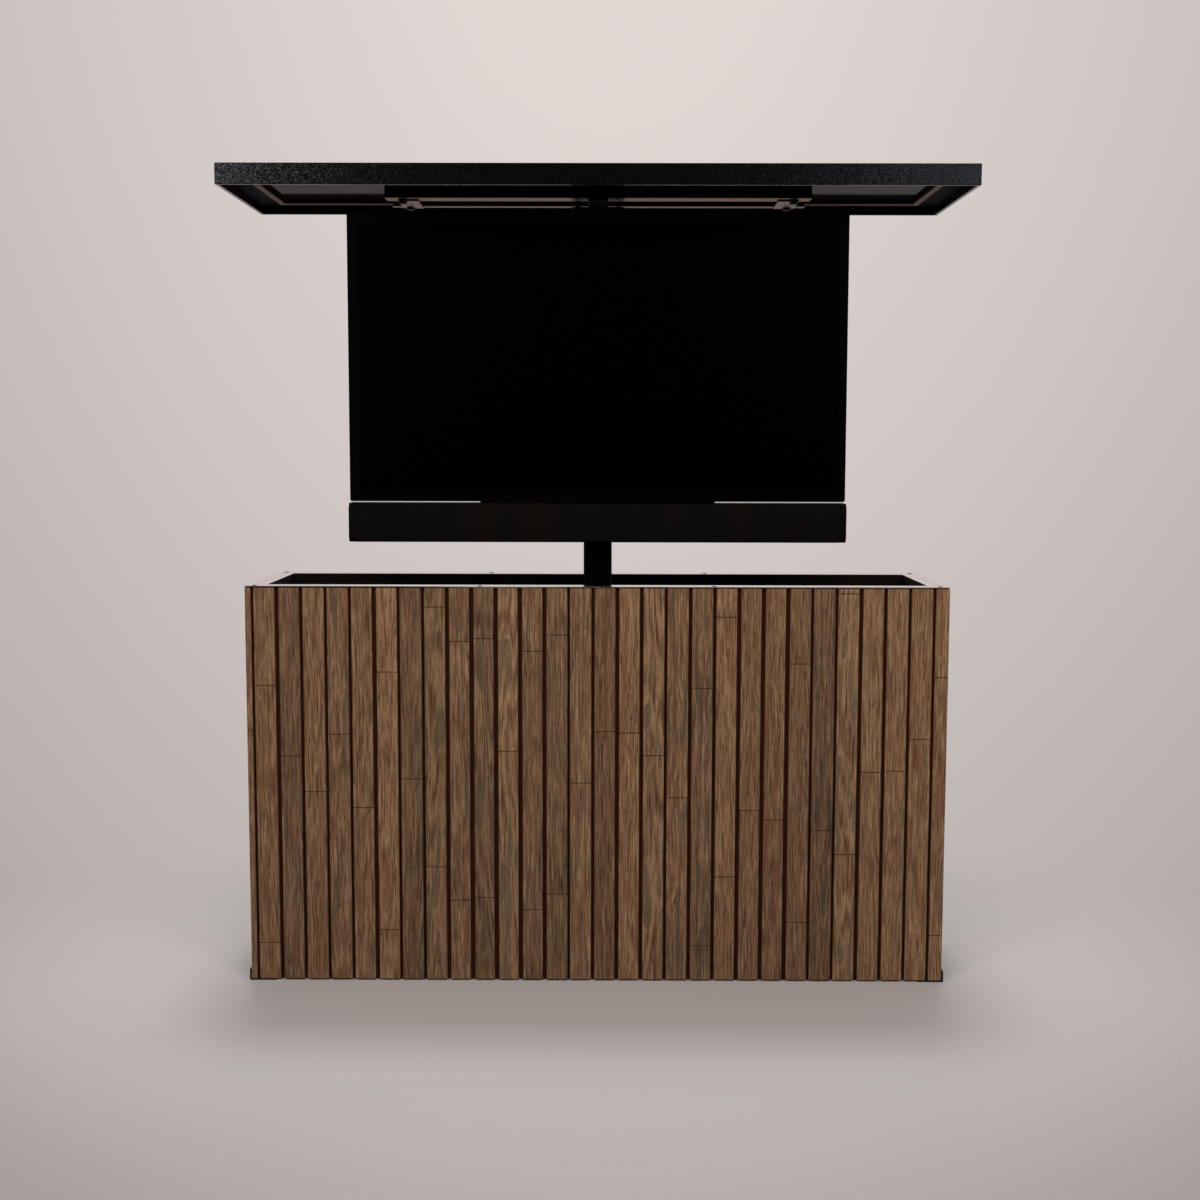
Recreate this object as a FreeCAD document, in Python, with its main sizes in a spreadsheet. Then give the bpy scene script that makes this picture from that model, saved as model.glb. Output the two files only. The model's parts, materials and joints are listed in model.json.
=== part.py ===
"""Television lift cabinet, raised.

A slatted outdoor cabinet stands on four corner shoes.  A three stage lift
column in it carries a television, a sound bar and the cabinet's lid.

Frame: millimetres, +Z up, +X to the viewer's right, the front faces -Y.  The
origin is on the floor under the middle of the lid.  The lift is at the top of
its travel.
"""
import FreeCAD, Part
import Sketcher
import math
import os
import re

Vector = FreeCAD.Vector

# ---------------------------------------------------------------- sizes
SIZES = {
    # cabinet
    "cabinet_width": 1575.0,
    "cabinet_depth": 392.0,
    "cabinet_height": 905.0,
    "panel_thickness": 19.0,
    "base_thickness": 18.0,
    "batten_thickness": 15.0,
    "batten_height": 40.0,
    "access_width": 700.0,
    "access_joint": 1.0,
    "access_screw_side": 41.0,
    "access_screw_end": 54.5,
    "access_screw_height": 2.5,
    # slat cladding
    "slat_thickness": 9.0,
    "slat_pitch": 54.5,
    "slat_groove": 8.2,
    "groove_spread": 4.4,
    "first_groove": 15.8,
    "board_length": 593.0,
    "board_gap": 0.8,
    "board_edge": 1.0,
    # rim
    "rim_width": 43.0,
    "rim_thickness": 2.0,
    "rim_reveal": 1.5,
    "rim_seam_width": 1.2,
    "rim_seam_depth": 0.8,
    "rim_screw_side": 19.5,
    "rim_screw_end": 14.0,
    "rim_screw_radius": 5.5,
    "rim_screw_height": 0.8,
    # corner shoes
    "shoe_sole": 4.0,
    "shoe_side": 4.5,
    "shoe_height": 26.0,
    "shoe_taper": 4.0,
    "shoe_reach": 57.0,
    "shoe_length": 62.0,
    # vents and cable outlet of the access panel
    "vent_width": 160.0,
    "vent_height": 90.0,
    "vent_spread": 400.0,
    "vent_middle": 520.0,
    "vent_frame": 9.0,
    "vent_flange": 12.0,
    "vent_blade_pitch": 11.0,
    "vent_blade_start": 3.3,
    "vent_blade_rise": 6.6,
    "vent_blade_thickness": 1.6,
    "vent_fit": 0.3,
    "outlet_width": 76.0,
    "outlet_height": 40.0,
    "outlet_inset": 120.0,
    "outlet_level": 90.0,
    "outlet_wall": 3.0,
    "outlet_flange": 8.0,
    # lid
    "lid_overhang": 39.0,
    "lid_height": 46.0,
    "lid_sheet": 2.0,
    "hem_width": 8.0,
    "soffit_rise": 18.0,
    "seal_thickness": 3.0,
    "seal_width": 14.0,
    "seal_inset": 21.0,
    "seal_clearance": 0.3,
    "ceiling_rise": 25.0,
    "ceiling_thickness": 2.0,
    # lift column
    "stage_travel": 443.8,
    "column_recess": 49.0,
    "brace_depth": 36.0,
    "outer_tube_width": 81.0,
    "outer_tube_depth": 92.0,
    "stage_step": 7.0,
    "tube_wall": 3.0,
    "tube_corner": 8.0,
    "mid_tube_head": 6.0,
    "nest_clearance": 10.0,
    "glide_height": 30.0,
    "glide_clearance": 0.1,
    "collar_lip": 3.0,
    "nut_height": 30.0,
    "lift_plate_thickness": 8.0,
    "lift_plate_width": 324.0,
    "lift_plate_depth": 130.0,
    "anchor_inset": 19.0,
    "anchor_radius": 8.4,
    "anchor_height": 6.0,
    "gearbox_height": 44.0,
    "gearbox_margin": 4.0,
    "gearbox_corner": 14.0,
    "motor_offset": 88.0,
    "motor_radius": 31.0,
    "motor_length": 150.0,
    "motor_step": 4.0,
    "screw_radius": 8.0,
    "screw_clearance": 0.05,
    "screw_nose": 18.0,
    "screw_chamfer": 3.0,
    "bearing_radius": 16.0,
    "bearing_height": 12.0,
    "brace_drop": 96.0,
    "brace_height": 44.0,
    "brace_width": 120.0,
    # control box
    "control_width": 190.0,
    "control_height": 120.0,
    "control_depth": 48.0,
    "control_across": 560.0,
    "control_level": 70.0,
    "inlet_width": 20.0,
    "inlet_height": 24.0,
    "inlet_reach": 10.0,
    "inlet_rise": 18.0,
    "inlet_wall": 2.0,
    # carrier frame under the lid
    "rail_length": 977.0,
    "rail_wall": 3.0,
    "rail_drop": 2.7,
    "rail_flange": 34.0,
    "front_rail_reach": 112.0,
    "front_rail_depth": 52.0,
    "rear_rail_reach": 46.0,
    "rear_rail_depth": 27.0,
    "tie_thickness": 3.0,
    "tie_lap": 21.0,
    "tie_margin": 10.0,
    "end_plate_inner": 414.0,
    "end_plate_width": 48.0,
    "centre_tie_width": 46.0,
    "plate_bolt_front": 37.0,
    "plate_bolt_rear": 31.0,
    "plate_bolt_radius": 9.5,
    "tie_bolt_inset": 9.0,
    "plate_hole_radius": 3.5,
    "head_plate_width": 122.0,
    "head_plate_thickness": 8.0,
    "head_plate_margin": 21.0,
    "head_bolt_side": 14.0,
    "head_bolt_end": 20.0,
    "plate_corner": 6.0,
    "isolator_height": 11.7,
    "isolator_depth": 34.0,
    # screen mount
    "hanger_depth": 26.0,
    "hanger_clearance": 4.0,
    "hanger_length": 470.0,
    "hanger_wall": 4.0,
    "cross_rail_length": 460.0,
    "cross_rail_depth": 28.0,
    "cross_rail_height": 44.0,
    "arm_width": 36.0,
    "arm_depth": 12.0,
    "arm_wall": 2.5,
    "vesa_width": 400.0,
    "vesa_height": 200.0,
    "arm_margin": 24.0,
    # television
    "tv_width": 1128.0,
    "tv_height": 645.0,
    "tv_depth": 68.0,
    "tv_lid_gap": 41.9,
    "bezel_side": 22.0,
    "bezel_top": 18.0,
    "bezel_bottom": 26.0,
    "bezel_depth": 14.0,
    "screen_sink": 1.5,
    "screen_thickness": 4.0,
    "screen_lap": 5.0,
    "tv_corner": 5.0,
    "tv_bay_corner": 20.0,
    "tv_back_margin": 60.0,
    "tv_back_slope": 30.0,
    "tv_rim_depth": 18.0,
    "tv_wall": 3.0,
    "tv_fit": 0.4,
    "tv_vent_pitch": 26.0,
    "tv_vent_width": 6.0,
    "tv_vent_height": 40.0,
    "tv_vent_drop": 16.0,
    "port_across": 350.0,
    "port_width": 64.0,
    "port_height": 150.0,
    "port_depth": 16.0,
    # sound bar
    "bar_width": 1135.0,
    "bar_height": 89.0,
    "bar_proud": 6.0,
    "bar_gap": 4.0,
    "bar_corner": 9.0,
    "bar_cap": 16.0,
    "grille_depth": 5.0,
    "grille_shoulder": 1.8,
    "grille_edge": 3.0,
    "grille_bevel": 14.4,
    "chin_width": 536.0,
    "bracket_thickness": 3.0,
    "bracket_height": 120.0,
    "bracket_foot": 10.0,
    "spacer_setback": 14.0,
    "strap_spread": 280.0,
    "strap_width": 40.0,
    "strap_reach": 170.0,
    # fasteners
    "bolt_radius": 6.0,
    "bolt_height": 5.0,
}
TV_VENTS = 8

# Places that follow from the sizes.  A name may use the names above it.
PLACES = {
    "half_width": "cabinet_width / 2",
    "front_face": "-cabinet_depth / 2",
    "back_face": "cabinet_depth / 2",
    "panel_outer_x": "half_width - slat_thickness",
    "panel_inner_x": "panel_outer_x - panel_thickness",
    "panel_front_y": "front_face + slat_thickness",
    "panel_front_inner_y": "panel_front_y + panel_thickness",
    "panel_back_y": "back_face - slat_thickness",
    "panel_back_inner_y": "panel_back_y - panel_thickness",
    "rim_bottom": "cabinet_height - rim_thickness",
    "slat_top": "rim_bottom - rim_reveal",
    "base_top": "shoe_sole + base_thickness",
    # lid
    "lid_bottom": "cabinet_height - soffit_rise + seal_thickness + seal_clearance + 2 * stage_travel",
    "lid_half_x": "half_width + lid_overhang",
    "lid_half_y": "cabinet_depth / 2 + lid_overhang",
    "soffit_level": "lid_bottom + soffit_rise",
    "ceiling_level": "lid_bottom + ceiling_rise",
    "lid_top": "lid_bottom + lid_height",
    "seal_outer_x": "half_width - seal_inset",
    "seal_outer_y": "cabinet_depth / 2 - seal_inset",
    "recess_x": "seal_outer_x - seal_width",
    "recess_y": "seal_outer_y - seal_width",
    # lift column
    "column_y": "panel_back_inner_y - brace_depth - outer_tube_depth / 2",
    "outer_tube_top": "cabinet_height - column_recess",
    "lift_plate_top": "base_top + lift_plate_thickness",
    "gearbox_top": "lift_plate_top + gearbox_height",
    "mid_tube_width": "outer_tube_width - 2 * stage_step",
    "mid_tube_depth": "outer_tube_depth - 2 * stage_step",
    "inner_tube_width": "mid_tube_width - 2 * stage_step",
    "inner_tube_depth": "mid_tube_depth - 2 * stage_step",
    "mid_tube_bottom": "gearbox_top + nest_clearance + stage_travel",
    "mid_tube_top": "outer_tube_top + mid_tube_head + stage_travel",
    "inner_tube_bottom": "mid_tube_bottom + nut_height + nest_clearance + stage_travel",
    "tie_top": "lid_bottom + rail_drop",
    "tie_bottom": "tie_top - tie_thickness",
    "head_plate_top": "tie_bottom - isolator_height",
    "head_plate_bottom": "head_plate_top - head_plate_thickness",
    "hanger_back_y": "column_y - outer_tube_depth / 2 - hanger_clearance",
    "head_front_y": "hanger_back_y - hanger_depth",
    "head_back_y": "column_y + inner_tube_depth / 2 + head_plate_margin",
    "front_rail_y": "column_y - front_rail_reach",
    "front_rail_back_y": "front_rail_y + front_rail_depth",
    "rear_rail_back_y": "column_y + rear_rail_reach",
    "rear_rail_y": "rear_rail_back_y - rear_rail_depth",
    "tie_front_y": "front_rail_back_y - tie_lap",
    "tie_back_y": "rear_rail_back_y - tie_margin",
    "inner_tube_top": "head_plate_bottom",
    # television and its mount
    "arm_back_y": "head_front_y - cross_rail_depth",
    "tv_back_y": "arm_back_y - arm_depth",
    "tv_front_y": "tv_back_y - tv_depth",
    "tv_top": "lid_bottom - tv_lid_gap",
    "tv_bottom": "tv_top - tv_height",
    "tv_middle": "tv_top - tv_height / 2",
    "screen_front_y": "tv_front_y + screen_sink",
    "bezel_back_y": "tv_front_y + bezel_depth",
    "bar_front_y": "tv_front_y - bar_proud",
    "bar_top": "tv_bottom - bar_gap",
    "bar_bottom": "bar_top - bar_height",
}

doc = FreeCAD.newDocument("tv_lift_cabinet")
sheet = doc.addObject("Spreadsheet::Sheet", "Sizes")
for row, (alias, size) in enumerate(SIZES.items(), start=1):
    sheet.set("A%d" % row, alias)
    sheet.set("B%d" % row, str(size))
    sheet.setAlias("B%d" % row, alias)
doc.recompute()

NAME = re.compile(r"[a-z][a-z0-9_]+")
NODES = []


def bound(text):
    """Write an expression of size and place names for the spreadsheet."""
    def spell(match):
        name = match.group(0)
        if name in PLACES:
            return "(" + bound(PLACES[name]) + ")"
        return "Sizes." + name
    return NAME.sub(spell, str(text))


def value(text):
    """The number that an expression of size and place names gives."""
    return float(sheet.evalExpression(bound(text)))


def tie(thing, **expressions):
    """Bind properties of an object; a double underscore stands for a dot."""
    for path, text in expressions.items():
        thing.setExpression(path.replace("__", "."), bound(text))


def node(label, thing):
    """Name a finished piece, which gets a file of its own."""
    thing.Label = label
    NODES.append(thing)
    return thing


# ---------------------------------------------------------------- solids
def block(name, x, y, z):
    """A box between the two expressions that each direction gives."""
    box = doc.addObject("Part::Box", name)
    tie(box, Length="%s - (%s)" % (x[1], x[0]), Placement__Base__x=x[0])
    tie(box, Width="%s - (%s)" % (y[1], y[0]), Placement__Base__y=y[0])
    tie(box, Height="%s - (%s)" % (z[1], z[0]), Placement__Base__z=z[0])
    return box


TURNS = {
    "z": FreeCAD.Rotation(),
    "y": FreeCAD.Rotation(Vector(1, 0, 0), -90),
    "-y": FreeCAD.Rotation(Vector(1, 0, 0), 90),
    "x": FreeCAD.Rotation(Vector(0, 1, 0), 90),
}


def rod(name, at, radius, length, way="z", sides=0):
    """A cylinder, or a prism of so many sides, from a point along a direction."""
    if sides:
        solid = doc.addObject("Part::Prism", name)
        solid.Polygon = sides
        tie(solid, Circumradius=radius)
    else:
        solid = doc.addObject("Part::Cylinder", name)
        tie(solid, Radius=radius)
    solid.Placement = FreeCAD.Placement(Vector(), TURNS[way])
    tie(solid, Height=length, Placement__Base__x=at[0])
    tie(solid, Placement__Base__y=at[1], Placement__Base__z=at[2])
    return solid


def cut(name, base, tools):
    """The base with every tool taken out of it."""
    made = base
    for number, tool in enumerate(tools):
        step = doc.addObject("Part::Cut", "%s_cut_%d" % (name, number))
        step.Base = made
        step.Tool = tool
        made = step
    return made


def fuse(name, pieces):
    """One solid from pieces that overlap or meet."""
    made = doc.addObject("Part::MultiFuse", name + "_fuse")
    made.Shapes = pieces
    made.Refine = True
    return made


def group(name, pieces):
    """Separate solids that share one node."""
    made = doc.addObject("Part::Compound", name + "_group")
    made.Links = pieces
    return made


# ---------------------------------------------------------------- sketched bodies
def start_sketch(body, role, name, level):
    """A sketch on one of the body's own planes, at a level along its axis."""
    sketch = body.newObject("Sketcher::SketchObject", name)
    plane = [item for item in body.Origin.OriginFeatures if item.Role == role][0]
    sketch.AttachmentSupport = [(plane, "")]
    sketch.MapMode = "FlatFace"
    sign = "-" if role == "XZ_Plane" else ""
    tie(sketch, AttachmentOffset__Base__z="%s(%s)" % (sign, level))
    return sketch


def pin_point(sketch, edge, end, place):
    """Hold an edge's end at the two expressions of its place."""
    for kind, text in zip(("DistanceX", "DistanceY"), place):
        held = Sketcher.Constraint(kind, -1, 1, edge, end, value(text))
        index = sketch.addConstraint(held)
        sketch.setExpression("Constraints[%d]" % index, bound(text))


def outline(sketch, points):
    """A closed polygon with every corner held by the sizes."""
    first = sketch.GeometryCount
    spots = [Vector(value(x), value(y), 0) for x, y in points]
    for here, there in zip(spots, spots[1:] + spots[:1]):
        sketch.addGeometry(Part.LineSegment(here, there), False)
    for index, place in enumerate(points):
        edge = first + index
        before = first + (index - 1) % len(points)
        sketch.addConstraint(Sketcher.Constraint("Coincident", before, 2, edge, 1))
        pin_point(sketch, edge, 1, place)


def rectangle(sketch, x, y):
    """A sharp rectangle between two pairs of expressions."""
    outline(sketch, [(x[0], y[0]), (x[1], y[0]), (x[1], y[1]), (x[0], y[1])])


def rounded(sketch, x, y, radius):
    """A rectangle with its four corners rounded by tangent arcs."""
    first = sketch.GeometryCount
    left, right = value(x[0]), value(x[1])
    low, high = value(y[0]), value(y[1])
    turn = value(radius)
    sides = [
        ((left + turn, low), (right - turn, low)),
        ((right, low + turn), (right, high - turn)),
        ((right - turn, high), (left + turn, high)),
        ((left, high - turn), (left, low + turn)),
    ]
    centres = [
        (right - turn, low + turn),
        (right - turn, high - turn),
        (left + turn, high - turn),
        (left + turn, low + turn),
    ]
    for index in range(4):
        here, there = sides[index]
        sketch.addGeometry(Part.LineSegment(Vector(*here, 0), Vector(*there, 0)), False)
        circle = Part.Circle(Vector(*centres[index], 0), Vector(0, 0, 1), turn)
        begin = math.radians(90 * index - 90)
        sketch.addGeometry(Part.ArcOfCircle(circle, begin, begin + math.pi / 2), False)
    for index in range(4):
        side = first + 2 * index
        arc = side + 1
        following = first + (2 * index + 2) % 8
        level = "Vertical" if index % 2 else "Horizontal"
        sketch.addConstraint(Sketcher.Constraint("Tangent", side, 2, arc, 1))
        sketch.addConstraint(Sketcher.Constraint("Tangent", arc, 2, following, 1))
        sketch.addConstraint(Sketcher.Constraint(level, side))
        if index:
            sketch.addConstraint(Sketcher.Constraint("Equal", first + 1, arc))
    holds = [
        (Sketcher.Constraint("Radius", first + 1, turn), radius),
        (Sketcher.Constraint("DistanceX", -1, 1, first + 6, 1, left), x[0]),
        (Sketcher.Constraint("DistanceX", -1, 1, first + 2, 1, right), x[1]),
        (Sketcher.Constraint("DistanceY", -1, 1, first, 1, low), y[0]),
        (Sketcher.Constraint("DistanceY", -1, 1, first + 4, 1, high), y[1]),
    ]
    for held, text in holds:
        index = sketch.addConstraint(held)
        sketch.setExpression("Constraints[%d]" % index, bound(text))


def ring(sketch, at, radius):
    """A full circle held by its centre and radius."""
    circle = Part.Circle(Vector(value(at[0]), value(at[1]), 0), Vector(0, 0, 1), value(radius))
    edge = sketch.addGeometry(circle, False)
    pin_point(sketch, edge, 3, at)
    index = sketch.addConstraint(Sketcher.Constraint("Radius", edge, value(radius)))
    sketch.setExpression("Constraints[%d]" % index, bound(radius))


def new_body(name):
    """An empty body, in the frame of the whole object."""
    return doc.addObject("PartDesign::Body", name)


def pad(body, role, low, high, draw, name="pad"):
    """Pad what draw sketches, from one level to another along the axis.

    The front view's plane has its normal towards -Y, so its sketch lies at
    the higher level and the pad runs back down.
    """
    level = high if role == "XZ_Plane" else low
    sketch = start_sketch(body, role, body.Name + "_" + name + "_sketch", level)
    draw(sketch)
    made = body.newObject("PartDesign::Pad", body.Name + "_" + name)
    made.Profile = sketch
    tie(made, Length="%s - (%s)" % (high, low))
    return made


def pocket(body, role, low, high, draw, name="pocket"):
    """Cut what draw sketches, between two levels along the axis."""
    level = low if role == "XZ_Plane" else high
    sketch = start_sketch(body, role, body.Name + "_" + name + "_sketch", level)
    draw(sketch)
    made = body.newObject("PartDesign::Pocket", body.Name + "_" + name)
    made.Profile = sketch
    tie(made, Length="%s - (%s)" % (high, low))
    return made


def turned(body, profile, centre):
    """Revolve a profile of radius and height pairs round an upright line."""
    sketch = start_sketch(body, "XZ_Plane", body.Name + "_sketch", centre[1])
    outline(sketch, [("%s + (%s)" % (centre[0], r), z) for r, z in profile])
    foot = Vector(value(centre[0]), value(profile[0][1]), 0)
    head = foot + Vector(0, 10, 0)
    line = sketch.addGeometry(Part.LineSegment(foot, head), True)
    pin_point(sketch, line, 1, (centre[0], profile[0][1]))
    pin_point(sketch, line, 2, (centre[0], "%s + 10" % profile[0][1]))
    made = body.newObject("PartDesign::Revolution", body.Name + "_turn")
    made.Profile = sketch
    made.ReferenceAxis = (sketch, ["Axis0"])
    made.Angle = 360
    return made


def span(half):
    """The two expressions of a length centred on the middle."""
    return ("-(%s)" % half, half)


# ---------------------------------------------------------------- cabinet
def make_panels():
    """Plywood walls and base that the cladding, rim and lift are fixed to."""
    height = ("shoe_sole", "rim_bottom")
    wide = span("panel_outer_x")
    front = ("panel_front_y", "panel_front_inner_y")
    back = ("panel_back_inner_y", "panel_back_y")
    middle = ("panel_front_inner_y", "panel_back_inner_y")
    edge = "access_width / 2 + access_joint"
    node("front_panel", block("front_panel", wide, front, height))
    left = block("left_side", ("-(panel_outer_x)", "-(panel_inner_x)"), middle, height)
    right = block("right_side", ("panel_inner_x", "panel_outer_x"), middle, height)
    node("side_panels", group("side_panels", [left, right]))
    left = block("back_left", ("-(panel_outer_x)", "-(%s)" % edge), back, height)
    right = block("back_right", (edge, "panel_outer_x"), back, height)
    node("back_panels", group("back_panels", [left, right]))
    level = ("shoe_sole", "base_top")
    node("base_panel", block("base_panel", span("panel_inner_x"), middle, level))


def make_battens():
    """A batten ring under the rim and four corner battens below it."""
    low = "rim_bottom - batten_height"
    body = new_body("top_battens")

    def draw(sketch):
        rectangle(sketch, span("panel_inner_x"), ("panel_front_inner_y", "panel_back_inner_y"))
        rectangle(
            sketch,
            span("panel_inner_x - batten_thickness"),
            ("panel_front_inner_y + batten_thickness", "panel_back_inner_y - batten_thickness"),
        )

    pad(body, "XY_Plane", low, "rim_bottom", draw)
    node("top_battens", body)
    posts = []
    for side in ("", "-"):
        x = ("%s(panel_inner_x)" % side, "%s(panel_inner_x - batten_thickness)" % side)
        x = x if side else (x[1], x[0])
        for end in (0, 1):
            face = ("panel_front_inner_y", "panel_back_inner_y - batten_thickness")[end]
            y = (face, "%s + batten_thickness" % face)
            posts.append(block("corner_batten_%d" % len(posts), x, y, ("base_top", low)))
    node("corner_battens", group("corner_battens", posts))


# Where each wall's run of fixed fractions starts, so that no two walls match.
SEEDS = {"front": 1, "left": 60, "right": 90, "rear left": 120, "rear right": 150, "access": 200}
GROOVE_SEED = 6


def hashed(number):
    """A fixed fraction between 0 and 1 that jumps from number to number."""
    wave = math.sin(number * 12.9898 + 4.1414) * 43758.5453
    return wave - math.floor(wave)


def board_solids(corner, along, outward, runs, seed):
    """Slats cut to board lengths that meet in staggered butt joints.

    The corner is where the wall's backing begins, runs are the stretches of
    the wall that slats cover, and every slat's first joint differs.
    """
    thick, edge, gap = value("slat_thickness"), value("board_edge"), value("board_gap")
    low, high = value("shoe_sole"), value("slat_top")
    length = value("board_length")
    boards = []
    for number, (begin, end) in enumerate(runs):
        section = [(begin, 0), (end, 0), (end, thick - edge)]
        section += [(end - edge, thick), (begin + edge, thick), (begin, thick - edge)]
        corners = [corner + along * u + outward * v for u, v in section]
        face = Part.Face(Part.makePolygon(corners + corners[:1]))
        joint = low + length * (0.12 + 0.86 * hashed(seed + number))
        bottom = low
        while bottom < high:
            top = high if joint > high - 8 * gap else joint
            board = face.extrude(Vector(0, 0, top - bottom))
            board.translate(Vector(0, 0, bottom))
            boards.append(board)
            bottom = top + gap
            joint += length
            if top == high:
                break
    return boards


def slat_runs(length, seed, first=None):
    """Where the slats of a wall begin and end.

    The grooves between them keep one pitch, but vary in width as hand fixed
    boards do.
    """
    pitch, groove, spread = value("slat_pitch"), value("slat_groove"), value("groove_spread")
    least = groove / 3
    if first is None:
        count = max(1, int(length // pitch))
        first = (length - (count - 1) * pitch) / 2
        first = first - pitch if first > pitch else first
    centres = []
    centre = first
    while centre < length:
        centres.append(centre)
        centre += pitch
    widths = [groove + spread * (hashed(GROOVE_SEED + seed + n) - 0.5) for n in range(len(centres))]
    halves = [width / 2 for width in widths]
    starts = [0.0] + [centre + half for centre, half in zip(centres, halves)]
    ends = [centre - half for centre, half in zip(centres, halves)] + [length]
    return [(a, b) for a, b in zip(starts, ends) if b - a > least]


def cladding(name, corner, along, outward, runs, seed):
    """A wall's boards as one compound of separate solids."""
    made = doc.addObject("Part::Feature", name)
    made.Shape = Part.makeCompound(board_solids(corner, along, outward, runs, seed))
    return made


def make_slats():
    """Upright slats on all four walls, open to the dark backing between them."""
    half = value("half_width")
    skin = value("slat_thickness")
    front, back = value("panel_front_y"), value("panel_back_y")
    depth = back - front
    door = value("access_width / 2")
    joint = value("access_joint")
    right, left = Vector(1, 0, 0), Vector(-1, 0, 0)
    forward, rearward = Vector(0, -1, 0), Vector(0, 1, 0)
    runs = slat_runs(2 * half, SEEDS["front"], value("first_groove"))
    start = Vector(-half, front, 0)
    node("front_slats", cladding("front_slats", start, right, forward, runs, SEEDS["front"]))
    runs = slat_runs(depth, SEEDS["left"])
    start = Vector(-half + skin, back, 0)
    node("left_slats", cladding("left_slats", start, forward, left, runs, SEEDS["left"]))
    runs = slat_runs(depth, SEEDS["right"])
    start = Vector(half - skin, front, 0)
    node("right_slats", cladding("right_slats", start, rearward, right, runs, SEEDS["right"]))
    rear = []
    for side, begin in (("rear left", half), ("rear right", -door - joint)):
        runs = slat_runs(half - door - joint, SEEDS[side])
        rear += board_solids(Vector(begin, back, 0), left, rearward, runs, SEEDS[side])
    made = doc.addObject("Part::Feature", "back_slats")
    made.Shape = Part.makeCompound(rear)
    node("back_slats", made)
    runs = slat_runs(2 * door, SEEDS["access"])
    start = Vector(door, back, 0)
    whole = cladding("access_slats_whole", start, left, rearward, runs, SEEDS["access"])
    node("access_slats", cut("access_slats", whole, access_openings("slats")))


def vent_levels():
    """The two heights at which the access panel is vented."""
    return ("vent_middle - vent_spread / 2", "vent_middle + vent_spread / 2")


def access_openings(name):
    """What is cut through the access panel and its slats."""
    through = ("panel_back_inner_y - 1", "back_face + 1")
    tools = []
    for number, level in enumerate(vent_levels()):
        z = ("%s - vent_height / 2" % level, "%s + vent_height / 2" % level)
        tools.append(block("%s_vent_hole_%d" % (name, number), span("vent_width / 2"), through, z))
    tools.append(block(name + "_outlet_hole", outlet_span("x", "0"), through, outlet_span("z", "0")))
    return tools


def outlet_span(way, grow):
    """The cable outlet's reach across or up, grown outward by an expression."""
    middle, size = {
        "x": ("-(access_width / 2 - outlet_inset)", "outlet_width"),
        "z": ("outlet_level", "outlet_height"),
    }[way]
    half = "(%s / 2 + %s)" % (size, grow)
    return ("%s - %s" % (middle, half), "%s + %s" % (middle, half))


def make_access_panel():
    """The removable middle of the back, with vents, a cable outlet and screws."""
    height = ("shoe_sole", "rim_bottom")
    depth = ("panel_back_inner_y", "panel_back_y")
    whole = block("access_whole", span("access_width / 2"), depth, height)
    node("access_panel", cut("access_panel", whole, access_openings("panel")))
    names = ("lower_vent", "upper_vent")
    vents = [make_vent(name, level) for name, level in zip(names, vent_levels())]
    node("vent_grilles", group("vent_grilles", vents))
    body = new_body("cable_outlet")

    def flange(sketch):
        grow = "outlet_flange"
        rounded(sketch, outlet_span("x", grow), outlet_span("z", grow), "outlet_wall")
        rectangle(sketch, outlet_span("x", "-outlet_wall"), outlet_span("z", "-outlet_wall"))

    def sleeve(sketch):
        rectangle(sketch, outlet_span("x", "-vent_fit"), outlet_span("z", "-vent_fit"))
        rectangle(sketch, outlet_span("x", "-outlet_wall"), outlet_span("z", "-outlet_wall"))

    pad(body, "XZ_Plane", "back_face", "back_face + outlet_wall", flange, "flange")
    pad(body, "XZ_Plane", "panel_back_inner_y", "back_face", sleeve, "sleeve")
    node("cable_outlet", body)
    screws = []
    levels = ("shoe_sole + access_screw_end", "cabinet_height / 2", "rim_bottom - access_screw_end")
    for x in span("access_width / 2 - access_screw_side"):
        for level in levels:
            at = (x, "back_face", level)
            name = "access_screw_%d" % len(screws)
            screws.append(rod(name, at, "bolt_radius", "access_screw_height", "y", 8))
    node("access_screws", group("access_screws", screws))


def make_vent(name, level):
    """A moulded grille: a sleeve in the hole, a flange outside and slanted blades."""
    body = new_body(name)

    def across(grow):
        return span("vent_width / 2 + (%s)" % grow)

    def upright(grow):
        half = "(vent_height / 2 + (%s))" % grow
        return ("%s - %s" % (level, half), "%s + %s" % (level, half))

    def flange(sketch):
        rounded(sketch, across("vent_flange"), upright("vent_flange"), "vent_flange")
        rectangle(sketch, across("-vent_frame"), upright("-vent_frame"))

    def sleeve(sketch):
        rectangle(sketch, across("-vent_fit"), upright("-vent_fit"))
        rectangle(sketch, across("-vent_frame"), upright("-vent_frame"))

    pad(body, "XZ_Plane", "back_face", "back_face + outlet_wall", flange, "flange")
    pad(body, "XZ_Plane", "panel_back_y", "back_face", sleeve, "sleeve")

    def blades(sketch):
        count = int((value("vent_height") - 2 * value("vent_frame")) // value("vent_blade_pitch"))
        inner, outer = "panel_back_y + vent_blade_thickness", "back_face + outlet_wall - vent_fit"
        for number in range(count):
            start = "vent_blade_start + vent_blade_pitch * %d" % number
            foot = "%s + %s" % (upright("-vent_frame")[0], start)
            tip = "%s + vent_blade_rise" % foot
            outline(sketch, [
                (inner, tip),
                (outer, foot),
                (outer, "%s + vent_blade_thickness" % foot),
                (inner, "%s + vent_blade_thickness" % tip),
            ])

    pad(body, "YZ_Plane", *across("-vent_frame"), blades, "blades")
    return body


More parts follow.
